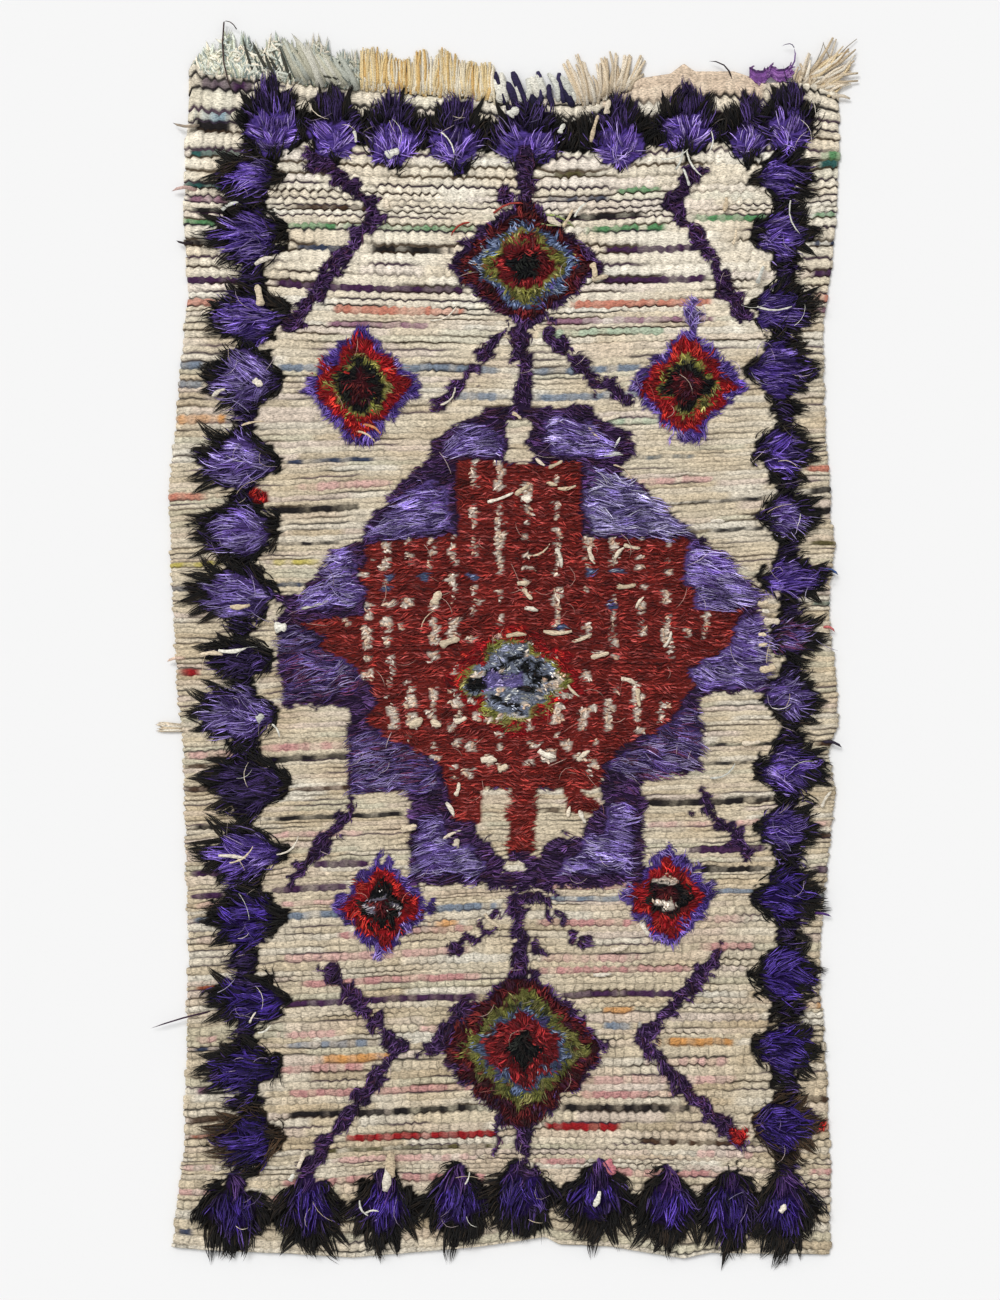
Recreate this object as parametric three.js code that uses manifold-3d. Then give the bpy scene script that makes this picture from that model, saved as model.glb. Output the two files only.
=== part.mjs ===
// A hand-knotted Azilal rug, lying flat: a field of cotton-rag rows with tufted wool motifs, a patchy warp
// fringe along its head end, and the loose bits that are sewn or left on its edges. Millimetres. +X runs across
// the rug, +Y along it towards the fringed head end, +Z is up. The underside lies on z = 0.
import * as THREE from "three";
import { mergeVertices } from "three/addons/utils/BufferGeometryUtils.js";
import Module from "manifold-3d";

const wasm = await Module();
wasm.setup();

// ---- Driving dimensions ----
const GROUND_HEIGHT = 12; // the rag rows
const EDGE_ROUNDING = 4; // how far the field's rim is eased, top and bottom
const PILE_SUNK = 5; // how deep a pile pad is rooted in the field
const PILE_EASE = 14; // how far a pile pad draws in from its foot to its top
const SURROUND = { x: 24, y: 14 }; // the black pile that stands out round each border lozenge
const JOINT_GAP = 0.3; // between two pieces that touch
const FRINGE_HEIGHT = 7;
const FRINGE_ROOT = 9; // the unparted strip that the fringe's teeth grow from
const PILE_TOP = { border: 24, medallion: 19, rosette: 21, lozenge: 20, line: 16 };

const COLOUR = {
  cream: 0xd8c6a4,
  sage: 0xaab4a4,
  ochre: 0xd9b06a,
  navy: 0x3a3550,
  violet: 0x6a4584,
};

// ---- Tables: each row's columns are named in its first argument ----
const table = (columns, rows) => {
  const names = columns.split(" ");
  return rows.map((row) => Object.fromEntries(row.map((value, i) => [names[i], value])));
};

// The field's four edges, from corner to corner.
const leftEdge = table("x y", [
  [-586, -1024], [-578, -942], [-566, -854], [-562, -679], [-558, -504], [-563, -329], [-566, -172],
  [-577, -49], [-584, 56], [-589, 161], [-593, 300], [-576, 455], [-566, 581], [-558, 634], [-566, 756],
  [-564, 896], [-556, 1010],
]);
const topEdge = table("x y", [
  [-558, 1031], [-544, 1055], [-516, 1045], [-250, 1018], [-33, 1000], [0, 988], [140, 987], [222, 1020],
  [290, 1030], [313, 1048], [332, 1034], [400, 1034], [460, 1014], [537, 1017], [585, 998],
]);
const rightEdge = table("x y", [
  [590, 896], [583, 791], [576, 686], [562, 600], [562, 440], [572, 318], [574, 250], [582, 204], [572, 130],
  [573, 56], [586, -49], [586, -110], [571, -160], [582, -235], [567, -364], [556, -469], [555, -574],
  [564, -679], [574, -889],
]);
const bottomEdge = table("x y", [
  [573, -1038], [359, -1034], [312, -1044], [189, -1024], [96, -1020], [70, -1006], [20, -1014], [-44, -1023],
  [-177, -1035], [-269, -1043], [-359, -1037], [-530, -1029],
]);

// Pile motifs: centre and half sizes of the coloured heart of each lozenge.
const borderLozenges = table("x y halfWidth halfHeight", [
  [-411, 961, 49, 60], [-453, 847, 38, 42], [-450, 744, 63, 47], [-453, 590, 70, 46], [-455, 488, 63, 50],
  [-478, 350, 66, 56], [-464, 226, 66, 49], [-474, 112, 68, 46], [-464, 4, 49, 38], [-471, -102, 70, 49],
  [-450, -224, 72, 54], [-455, -334, 68, 47], [-460, -452, 63, 52], [-446, -592, 66, 49],
  [-460, -714, 60, 38], [-446, -833, 52, 50], [-478, -978, 49, 62],
  [499, 945, 60, 55], [490, 844, 38, 44], [490, 744, 52, 49], [490, 616, 62, 49], [481, 520, 52, 48],
  [486, 362, 42, 42], [499, 256, 46, 38], [495, 144, 52, 38], [495, 38, 46, 50], [502, -66, 58, 58],
  [498, -189, 56, 50], [486, -299, 49, 44], [486, -425, 58, 58], [488, -553, 54, 50], [492, -679, 52, 60],
  [490, -819, 54, 54],
  [-301, 942, 38, 60], [-200, 925, 49, 46], [-86, 918, 46, 49], [38, 914, 60, 60], [208, 918, 49, 58],
  [317, 940, 56, 60], [414, 935, 40, 58],
  [-341, -974, 40, 66], [-211, -968, 40, 68], [-80, -960, 42, 72], [32, -944, 42, 72], [159, -946, 46, 64],
  [287, -968, 36, 72], [397, -968, 34, 76], [493, -980, 50, 68],
]);
const rosettes = table("x y halfWidth halfHeight", [
  [34, 700, 132, 122], [33, -662, 146, 150],
]);
const fieldLozenges = table("x y halfWidth halfHeight", [
  [-252, 482, 100, 110], [326, 482, 104, 106], [-212, -424, 80, 86], [292, -408, 78, 88],
]);
// The medallion's outline: its reach to the left and right of the rug's middle, from its head to its foot.
const medallion = table("y left right", [
  [440, -60, 100], [420, -100, 180], [340, -150, 210], [220, -250, 330], [90, -390, 430], [-50, -390, 430],
  [-75, -262, 345], [-240, -262, 345], [-262, -180, 235], [-380, -175, 235],
]);
// Lines of short pile between the motifs, end to end.
const pileLines = table("x1 y1 x2 y2 width", [
  [-310, 860, -210, 780, 30], [-215, 790, -350, 600, 26], [330, 830, 300, 770, 28], [300, 780, 415, 600, 26],
  [38, 880, 38, 800, 34], [30, 590, 30, 425, 30], [20, 560, -110, 470, 20], [50, 560, 205, 470, 20],
  [-190, -215, -365, -370, 26], [320, -200, 430, -340, 26], [30, -370, 28, -520, 26],
  [-305, -545, -185, -670, 24], [-185, -675, -345, -880, 26], [370, -520, 245, -650, 26],
  [245, -660, 410, -850, 26], [34, -800, 34, -880, 30],
]);

// The patches of fringe along the head end: where each starts and ends, its teeth, how long they are at its
// start and at its end, how raggedly they end and how far they lean.
const fringes = table("name colour from to teeth startLength endLength spread lean", [
  ["fringe_sage", "sage", -532, -254, 20, 80, 52, 10, -3],
  ["fringe_ochre", "ochre", -250, -20, 20, 60, 50, 6, 1],
  ["fringe_navy", "navy", -12, 124, 9, 48, 46, 6, 5],
  ["fringe_cream", "cream", 128, 232, 9, 66, 46, 9, 8],
  ["corner_tassel", "cream", 534, 588, 6, 80, 30, 12, 24],
]);

// ---- Shapes ----
// Where an edge lies across the rug's side, read off its table of points in order along that side.
const edgeAt = (edge, along, across, at) => {
  const rising = edge.at(-1)[along] > edge[0][along] ? edge : [...edge].reverse();
  const last = rising.length - 1;
  const after = rising.findIndex((point, i) => i === last || (i > 0 && point[along] >= at));
  const [a, b] = [rising[after - 1], rising[after]];
  return a[across] + ((b[across] - a[across]) * (at - a[along])) / (b[along] - a[along]);
};
const headAt = (x) => edgeAt(topEdge, "x", "y", x);
const leftAt = (y) => edgeAt(leftEdge, "y", "x", y);

const extruded = (points, bottom, top) =>
  new THREE.ExtrudeGeometry(new THREE.Shape(points.map((p) => new THREE.Vector2(p.x, p.y))), {
    depth: top - bottom,
    bevelEnabled: false,
  }).translate(0, 0, bottom);

const toSolid = (geometry) => {
  const bare = geometry.clone();
  bare.deleteAttribute("normal");
  bare.deleteAttribute("uv");
  const merged = mergeVertices(bare, 1e-3);
  return new wasm.Manifold(
    new wasm.Mesh({
      numProp: 3,
      vertProperties: merged.attributes.position.array,
      triVerts: new Uint32Array(merged.index.array),
    }),
  );
};

const toGeometry = (solid) => {
  const mesh = solid.getMesh();
  return new THREE.BufferGeometry()
    .setAttribute("position", new THREE.BufferAttribute(mesh.vertProperties, 3))
    .setIndex(new THREE.BufferAttribute(mesh.triVerts, 1));
};

// The flat field of rag rows, with its rim eased top and bottom.
const fieldGeometry = () => {
  const outline = [...leftEdge, ...topEdge, ...rightEdge, ...bottomEdge];
  const shape = new THREE.Shape(outline.map((p) => new THREE.Vector2(p.x, p.y)));
  return new THREE.ExtrudeGeometry(shape, {
    depth: GROUND_HEIGHT - 2 * EDGE_ROUNDING,
    bevelThickness: EDGE_ROUNDING,
    bevelSize: EDGE_ROUNDING,
    bevelOffset: -EDGE_ROUNDING,
    bevelSegments: 1,
  }).translate(0, 0, EDGE_ROUNDING);
};

// A low eight-sided pad of pile, pointed like a lozenge, that draws in towards its top.
const LOZENGE_SIDES = 8;
const LOZENGE_WAIST = 0.78; // how far out the sides between two points reach
const lozengePad = ({ x, y, halfWidth, halfHeight }, top) => {
  const foot = GROUND_HEIGHT - PILE_SUNK;
  const ring = (ease) =>
    Array.from({ length: LOZENGE_SIDES }, (_, i) => {
      const angle = (i * 2 * Math.PI) / LOZENGE_SIDES;
      const reach = i % 2 ? LOZENGE_WAIST : 1;
      return [
        x + Math.cos(angle) * reach * (halfWidth - ease),
        y + Math.sin(angle) * reach * (halfHeight - ease),
      ];
    });
  const [low, high] = [ring(0), ring(PILE_EASE)];
  const rings = [...low.map((p) => [...p, foot]), ...high.map((p) => [...p, top])];
  const position = [...rings, [x, y, foot], [x, y, top]];
  const [lowMiddle, highMiddle] = [2 * LOZENGE_SIDES, 2 * LOZENGE_SIDES + 1];
  const index = low.flatMap((_, i) => {
    const next = (i + 1) % LOZENGE_SIDES;
    const [a, b, c, d] = [i, next, next + LOZENGE_SIDES, i + LOZENGE_SIDES];
    return [a, b, c, a, c, d, lowMiddle, b, a, highMiddle, d, c];
  });
  return new THREE.BufferGeometry()
    .setAttribute("position", new THREE.Float32BufferAttribute(position.flat(), 3))
    .setIndex(index);
};

const linePad = ({ x1, y1, x2, y2, width }, top) => {
  const along = Math.hypot(x2 - x1, y2 - y1);
  const foot = GROUND_HEIGHT - PILE_SUNK;
  return new THREE.BoxGeometry(along, width, top - foot)
    .rotateZ(Math.atan2(y2 - y1, x2 - x1))
    .translate((x1 + x2) / 2, (y1 + y2) / 2, (top + foot) / 2);
};

const medallionPad = () => {
  const left = medallion.map((step) => ({ x: step.left, y: step.y }));
  const right = medallion.map((step) => ({ x: step.right, y: step.y }));
  return extruded([...left, ...right.reverse()], GROUND_HEIGHT - PILE_SUNK, PILE_TOP.medallion);
};

const rugGeometry = () => {
  const pads = [
    medallionPad(),
    ...borderLozenges.map((row) =>
      lozengePad(
        { ...row, halfWidth: row.halfWidth + SURROUND.x, halfHeight: row.halfHeight + SURROUND.y },
        PILE_TOP.border,
      ),
    ),
    ...rosettes.map((row) => lozengePad(row, PILE_TOP.rosette)),
    ...fieldLozenges.map((row) => lozengePad(row, PILE_TOP.lozenge)),
    ...pileLines.map((row) => linePad(row, PILE_TOP.line)),
  ];
  return toGeometry(pads.reduce((solid, pad) => solid.add(toSolid(pad)), toSolid(fieldGeometry())));
};

// The head end's rim from one x to another, a joint gap away from the field.
const rimBetween = (from, to) => {
  const between = topEdge.filter((p) => p.x > from && p.x < to);
  const rim = [{ x: from, y: headAt(from) }, ...between, { x: to, y: headAt(to) }];
  return rim.map((p) => ({ x: p.x, y: p.y + JOINT_GAP }));
};

// One patch of fringe: a comb whose back follows the rim and whose teeth end raggedly.
const TIP_SHARE = 0.35; // a tooth's width at its tip, as a share of its pitch
const combGeometry = ({ from, to, teeth, startLength, endLength, spread, lean }) => {
  const pitch = (to - from) / teeth;
  const points = rimBetween(from, to);
  for (let i = teeth - 1; i >= 0; i -= 1) {
    const [left, right] = [from + i * pitch, from + (i + 1) * pitch];
    const middle = (left + right) / 2 + lean;
    const length = startLength + ((endLength - startLength) * i) / (teeth - 1);
    const tip = headAt((left + right) / 2) + length + spread * Math.sin(2.4 * i);
    const half = (TIP_SHARE * pitch) / 2;
    points.push(
      { x: right, y: headAt(right) + FRINGE_ROOT },
      { x: middle + half, y: tip },
      { x: middle - half, y: tip },
    );
  }
  points.push({ x: from, y: headAt(from) + FRINGE_ROOT });
  return extruded(points, 0, FRINGE_HEIGHT);
};

// A short scrap of violet braid caught in the head end, in two humps.
const BRAID = { from: 428, to: 504, height: 22, dip: 9, thick: 10, humps: 2, steps: 12 };
const braidGeometry = () => {
  const crown = Array.from({ length: BRAID.steps + 1 }, (_, i) => {
    const x = BRAID.from + ((BRAID.to - BRAID.from) * i) / BRAID.steps;
    const hump = Math.abs(Math.sin((BRAID.humps * Math.PI * i) / BRAID.steps));
    return { x, y: headAt(x) + BRAID.height - BRAID.dip * (1 - hump) };
  });
  return extruded([...rimBetween(BRAID.from, BRAID.to), ...crown.reverse()], 0, BRAID.thick);
};

// A folded end of rag strip that sticks out of the left edge and tapers to its fold.
const LOOSE_END = { y: -116, root: 24, reach: 44, tip: 7, thick: 8 };
const looseEndGeometry = () => {
  const { y, root, reach, tip, thick } = LOOSE_END;
  const [low, high] = [y - root / 2, y + root / 2];
  const start = leftAt(y);
  const points = [
    { x: leftAt(low) - JOINT_GAP, y: low },
    { x: leftAt(high) - JOINT_GAP, y: high },
    { x: start - reach * 0.6, y: y + root * 0.6 },
    { x: start - reach, y: y + root * 0.55 },
    { x: start - reach, y: y + root * 0.55 - tip },
    { x: start - reach * 0.45, y: y - root * 0.4 },
  ];
  return extruded(points.reverse(), 0, thick);
};

// ---- The object ----
const cloth = (colour) =>
  new THREE.MeshStandardMaterial({ color: COLOUR[colour], roughness: 0.95, metalness: 0 });
const piece = (name, geometry, colour) => {
  const mesh = new THREE.Mesh(geometry, cloth(colour));
  mesh.name = name;
  return mesh;
};

const rug = new THREE.Group();
rug.add(
  piece("rug_field", rugGeometry(), "cream"),
  ...fringes.map((row) => piece(row.name, combGeometry(row), row.colour)),
  piece("violet_braid", braidGeometry(), "violet"),
  piece("loose_rag_end", looseEndGeometry(), "cream"),
);

// The origin is the middle of the whole object's footprint, on the floor.
const box = new THREE.Box3().setFromObject(rug);
const middle = box.getCenter(new THREE.Vector3());
rug.position.set(-middle.x, -middle.y, 0);

export default rug;
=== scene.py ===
"""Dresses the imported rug: rag-cotton rows, combed wool pile, fringe and loose ends, laid on a pale floor.

Lengths are millimetres in the rug's own drawing. Its x = 0 is the line through the medallion's stem, and its
y = 0 is the middle of the loom's run. place() turns them into the frame's metres.
"""

import math
from collections import namedtuple

import bmesh
import bpy
import numpy as np
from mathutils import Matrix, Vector


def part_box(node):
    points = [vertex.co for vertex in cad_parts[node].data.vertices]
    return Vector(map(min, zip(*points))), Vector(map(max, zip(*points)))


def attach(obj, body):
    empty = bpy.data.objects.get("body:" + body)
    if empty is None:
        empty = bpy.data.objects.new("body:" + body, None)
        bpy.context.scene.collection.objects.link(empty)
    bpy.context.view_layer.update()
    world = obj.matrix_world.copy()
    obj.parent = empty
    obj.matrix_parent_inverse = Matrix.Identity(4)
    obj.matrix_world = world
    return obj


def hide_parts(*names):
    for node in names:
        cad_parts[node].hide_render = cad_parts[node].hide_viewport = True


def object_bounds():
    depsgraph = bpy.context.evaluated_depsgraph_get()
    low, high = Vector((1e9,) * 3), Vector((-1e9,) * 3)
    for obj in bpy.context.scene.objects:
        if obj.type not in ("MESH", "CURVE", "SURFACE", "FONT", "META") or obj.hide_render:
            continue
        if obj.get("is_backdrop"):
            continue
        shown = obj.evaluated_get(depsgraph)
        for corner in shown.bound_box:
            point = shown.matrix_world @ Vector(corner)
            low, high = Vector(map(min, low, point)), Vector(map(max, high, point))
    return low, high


bl_info = {
    "name": "Azilal rug",
    "version": (1, 0, 0),
    "blender": (4, 5, 0),
    "location": "3D View > Sidebar > Rug",
    "description": "Makes the rows, the pile, the fringe and the stage of a hand-knotted rug",
    "category": "Object",
}

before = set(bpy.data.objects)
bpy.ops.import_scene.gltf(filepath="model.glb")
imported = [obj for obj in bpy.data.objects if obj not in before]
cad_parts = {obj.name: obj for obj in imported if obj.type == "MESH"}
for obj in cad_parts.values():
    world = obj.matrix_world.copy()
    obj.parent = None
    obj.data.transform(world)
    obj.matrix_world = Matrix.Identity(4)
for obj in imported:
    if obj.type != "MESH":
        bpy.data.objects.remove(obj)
CAD_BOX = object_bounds()
MM = 0.001
ROOT = "root"


# ---- Tables, colours and chance ----
def table(kind, *rows):
    """Bare rows of values as a list of named ones."""
    return [kind(*row) for row in rows]


def column(rows, name):
    """One named value of every row."""
    return np.array([getattr(row, name) for row in rows], float)


def mix(a, b, share):
    return a + (b - a) * share


def linear(code):
    """A written colour, such as 0xD8C6A4, as the linear values that Blender's shaders and attributes hold."""
    parts = [(code >> shift & 255) / 255 for shift in (16, 8, 0)]
    return tuple(p / 12.92 if p <= 0.04045 else ((p + 0.055) / 1.055) ** 2.4 for p in parts)


def palette_of(codes):
    """Written colours as rows of linear values."""
    return np.array([linear(code) for code in codes])


def chance(seed):
    return np.random.default_rng(seed)


def wander(x, y, wavelength, seed):
    """A smooth random height between about -1 and 1 at each point, with that wavelength."""
    draw = chance(seed)
    total = np.zeros(np.broadcast(x, y).shape)
    for _ in range(6):
        turn, phase = draw.uniform(0, 2 * math.pi, 2)
        beat = 2 * math.pi / (wavelength * draw.uniform(0.7, 1.5))
        total += np.sin(beat * (np.cos(turn) * x + np.sin(turn) * y) + phase)
    return total / 3.5


def dyes(codes, draw, count):
    """A colour for each strand, picked from a few and a little lighter or darker."""
    palette = palette_of(codes)
    return palette[draw.integers(0, len(palette), count)] * draw.uniform(0.85, 1.1, (count, 1))


# ---- The drawing and the frame ----
LOW_EDGE = 0.002  # the field's outline is read at its first level above this, in metres
FIELD_LEFT = -593.0  # the drawing's x of the field's leftmost point
FIELD_FOOT = -1044.0  # the drawing's y of its lowest one


def rim_of_field():
    """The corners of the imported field's outline, in the frame's metres, counter-clockwise from the left."""
    points = np.array([v.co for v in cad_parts["rug_field"].data.vertices])
    height = points[:, 2]
    at_level = np.abs(height - height[height > LOW_EDGE].min()) < 1e-5
    rim = np.unique(np.round(points[at_level, :2], 6), axis=0)
    return rim[np.argsort(np.arctan2(rim[:, 1], rim[:, 0]))]


RIM = rim_of_field()
SHIFT = np.array([RIM[:, 0].min() - FIELD_LEFT * MM, RIM[:, 1].min() - FIELD_FOOT * MM])


def place(points):
    """Points of the drawing, in millimetres, as points of the frame, in metres."""
    placed = np.asarray(points, float) * MM
    placed[..., :2] += SHIFT
    return placed


def sides_of_rim():
    """The rim's left, foot, right and head sides, in the drawing's millimetres, from corner to corner."""
    rim = (RIM - SHIFT) / MM
    reach = np.abs(rim).max(0)
    corners = [int((rim / reach @ way).argmax()) for way in ((-1, -1), (1, -1), (1, 1), (-1, 1))]
    rim = np.roll(rim, -corners[0], axis=0)
    ends = [(corner - corners[0]) % len(rim) for corner in corners] + [len(rim)]
    closed = np.vstack([rim, rim[:1]])
    foot, right, head, left = (closed[start : stop + 1] for start, stop in zip(ends, ends[1:]))
    return left[::-1], foot, right, head[::-1]


def read_along(side, axis):
    """A function that reads a side of the rim: its x at a height (axis 1), or its height at an x (axis 0)."""
    return lambda at: np.interp(at, side[:, axis], side[:, 1 - axis])


LEFT, FOOT, RIGHT, HEAD = sides_of_rim()
left_at, right_at = read_along(LEFT, 1), read_along(RIGHT, 1)
foot_at, head_at = read_along(FOOT, 0), read_along(HEAD, 0)


def inside_rim(points):
    """How far each point lies inside the field's rim, less than nothing outside it."""
    x, y = points[:, 0], points[:, 1]
    return np.minimum.reduce([x - left_at(y), right_at(y) - x, head_at(x) - y, y - foot_at(x)])


def headings(turn):
    """The directions at these angles, and the ones square to them."""
    ahead = np.column_stack([np.cos(turn), np.sin(turn)])
    return ahead, np.column_stack([-ahead[:, 1], ahead[:, 0]])


def raised(flat, height):
    """Flat points at a height, or each at its own."""
    return np.column_stack([flat, np.broadcast_to(height, len(flat))])


# ---- What a user would change ----
def number(name, description, default):
    return bpy.props.FloatProperty(name=name, description=description, default=default)


def whole_number(name, description, default):
    return bpy.props.IntProperty(name=name, description=description, default=default)


class RugRows(bpy.types.PropertyGroup):
    """The rag-cotton ground."""

    crest: number("Crest", "Height of a row's crest above the floor, in millimetres", 11.5)
    knot: number("Knot", "Width of one rag knot along its row, in millimetres", 16.5)
    seed: whole_number("Seed", "Changes the unevenness of the rows", 7)


class RugPile(bpy.types.PropertyGroup):
    """The knotted wool."""

    spacing: number("Spacing", "Factor on the distance between two strands' roots", 1.0)
    strand: number("Strand", "Thickness of a long strand, in millimetres", 2.7)
    long: number("Long pile", "Length of the border's strands, in millimetres", 52.0)
    height: number("Height", "How high the combed pile stands, in millimetres", 23.0)
    seed: whole_number("Seed", "Changes how the strands lie", 21)


class RugFringe(bpy.types.PropertyGroup):
    """The yarn ends along the head."""

    yarn: number("Yarn", "Thickness of a yarn of the corner tassel, in millimetres", 3.6)
    height: number("Height", "How high the fringe lies, in millimetres", 7.0)
    seed: whole_number("Seed", "Changes how the yarns lie", 5)


class RugStage(bpy.types.PropertyGroup):
    """The floor, the light and the camera."""

    sky: number("Sky", "Strength of the even light from all round", 0.62)
    sun: number("Sun", "Strength of the soft light from the head's left", 1.75)
    lens: number("Lens", "Focal length, in millimetres", 85.0)
    across: number("Across", "Width of floor that the camera takes in, in metres", 1.75)


SETTINGS = {"rug_rows": RugRows, "rug_pile": RugPile, "rug_fringe": RugFringe, "rug_stage": RugStage}


# ---- Meshes from arrays ----
def write_colours(mesh, name, colours):
    """Writes four numbers for each vertex as an attribute that the materials read."""
    layer = mesh.attributes.new(name, "FLOAT_COLOR", "POINT")
    layer.data.foreach_set("color", np.asarray(colours, np.float32).ravel())


def paint_points(mesh, colours):
    """Writes each vertex's linear colour as the attribute Dye."""
    write_colours(mesh, "Dye", np.column_stack([colours, np.ones(len(colours))]))


Template = namedtuple("Template", "points loops starts totals")


def template_of(bm):
    """A bmesh as arrays that can be copied thousands of times."""
    bmesh.ops.recalc_face_normals(bm, faces=bm.faces)
    bm.verts.index_update()
    points = np.array([v.co for v in bm.verts])
    loops = [[v.index for v in face.verts] for face in bm.faces]
    bm.free()
    totals = np.array([len(face) for face in loops])
    starts = np.concatenate([[0], np.cumsum(totals)[:-1]])
    return Template(points, np.concatenate(loops), starts, totals)


def new_verts(grown):
    return [part for part in grown if isinstance(part, bmesh.types.BMVert)]


def strand_template(sides, stations, radii=None, pointed=True):
    """A capped tube along +Z from 0 to 1, with a ring at each station and, when pointed, a sharp far end."""
    bm = bmesh.new()
    ring = bmesh.ops.create_circle(bm, cap_ends=True, segments=sides, radius=1)["verts"]
    edges = list({e for v in ring for e in v.link_edges})
    rings = [ring]
    for before, after in zip(stations, stations[1:]):
        grown = bmesh.ops.extrude_edge_only(bm, edges=edges)["geom"]
        ring = new_verts(grown)
        edges = [g for g in grown if isinstance(g, bmesh.types.BMEdge) and all(v in ring for v in g.verts)]
        bmesh.ops.translate(bm, verts=ring, vec=(0, 0, after - before))
        rings.append(ring)
    for ring, radius in zip(rings, radii or ()):
        bmesh.ops.scale(bm, verts=ring, vec=(radius, radius, 1))
    if pointed:
        bmesh.ops.pointmerge(bm, verts=rings[-1], merge_co=(0, 0, stations[-1]))
    else:
        bmesh.ops.contextual_create(bm, geom=edges)
    return template_of(bm)


LONG_STRAND = strand_template(3, (0, 0.35, 0.72, 1))
SHORT_STRAND = strand_template(3, (0, 0.5, 1))
HAIR = strand_template(3, (0, 0.25, 0.5, 0.75, 1))
YARN = strand_template(5, (0, 0.25, 0.5, 0.78, 1))
BLUNT = strand_template(5, (0, 0.3, 0.65, 1), pointed=False)
STRIP = strand_template(6, (0, 0.12, 0.35, 0.6, 0.85, 1), (0.7, 1, 1, 1, 0.95, 0.6), pointed=False)
CURL = strand_template(4, (0, 0.33, 0.67, 1), (0.6, 1, 1, 1))
KNOT = strand_template(5, (0, 0.25, 0.75, 1), (0.5, 1, 1, 0.5), pointed=False)

Strands = namedtuple("Strands", "root middle tip width flat dye")


def strands_of(root, middle, tip, width, flat, dye):
    """Strands from their roots past their middles to their tips. One width or flatness can do for all."""
    width, flat = (np.broadcast_to(part, len(root)) for part in (width, flat))
    return Strands(root, middle, tip, width, flat, dye)


def joined(many):
    """Several lots of strands as one."""
    return Strands(*(np.concatenate(parts) for parts in zip(*many)))


def unit(vectors):
    return vectors / (np.linalg.norm(vectors, axis=2, keepdims=True) + 1e-9)


def strand_mesh(name, template, strands, taper=0.75, root_shade=0.5, ragged=0.0):
    """One mesh of many strands. Each is a Bezier curve from its root past its middle to its tip."""
    count, per = len(strands.root), len(template.points)
    along = template.points[:, 2][None, :, None]
    root, middle, tip = (p[:, None, :] for p in (strands.root, strands.middle, strands.tip))
    centre = (1 - along) ** 2 * root + 2 * along * (1 - along) * middle + along**2 * tip
    heading = unit((1 - along) * (middle - root) + along * (tip - middle))
    side = unit(np.cross(heading, [0.0, 0.0, 1.0]))
    upward = np.cross(side, heading)
    radius = strands.width[:, None, None] / 2 * (1 - taper * along**2)
    radius = radius * (1 + ragged * np.sin(9 * along + strands.root[:, :1, None]))
    spread = template.points[:, 0][None, :, None] * side
    rise = template.points[:, 1][None, :, None] * upward * strands.flat[:, None, None]
    points = place(centre + radius * (spread + rise)).reshape(-1, 3)
    # Each strand is painted darker towards its root: painted shade for the depth of the pile. root_shade is
    # the share of its dye left at the root, and above 1 it makes the root lighter instead.
    shade = (root_shade + (1 - root_shade) * np.minimum(1, 1.8 * along)) * np.ones((count, per, 1))
    dye = strands.dye[:, None, :] * shade

    mesh = bpy.data.meshes.new(name)
    offsets = np.arange(count)[:, None]
    mesh.vertices.add(count * per)
    mesh.vertices.foreach_set("co", points.ravel())
    mesh.loops.add(count * len(template.loops))
    mesh.loops.foreach_set("vertex_index", (template.loops[None] + offsets * per).ravel())
    mesh.polygons.add(count * len(template.starts))
    mesh.polygons.foreach_set("loop_start", (template.starts[None] + offsets * len(template.loops)).ravel())
    mesh.update(calc_edges=True)
    paint_points(mesh, dye.reshape(-1, 3))
    return mesh


def new_object(name, data):
    made = bpy.data.objects.new(name, data)
    bpy.context.scene.collection.objects.link(made)
    return made


def finish_mesh(name, mesh, maker, slot):
    """Makes the piece of a mesh that is in place, with its material, and hangs it under the root's empty."""
    mesh.validate()
    mesh.shade_smooth()
    mesh.materials.append(bpy.data.materials.get(maker.__name__) or maker())
    piece = new_object(name, mesh)
    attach(piece, ROOT)
    return piece


def strand_piece(name, template, strands, maker, slot, node=None, **form):
    """Makes a piece of many strands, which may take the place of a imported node."""
    piece = finish_mesh(name, strand_mesh(name, template, strands, **form), maker, slot)
    if node:
        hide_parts(node)


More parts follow.
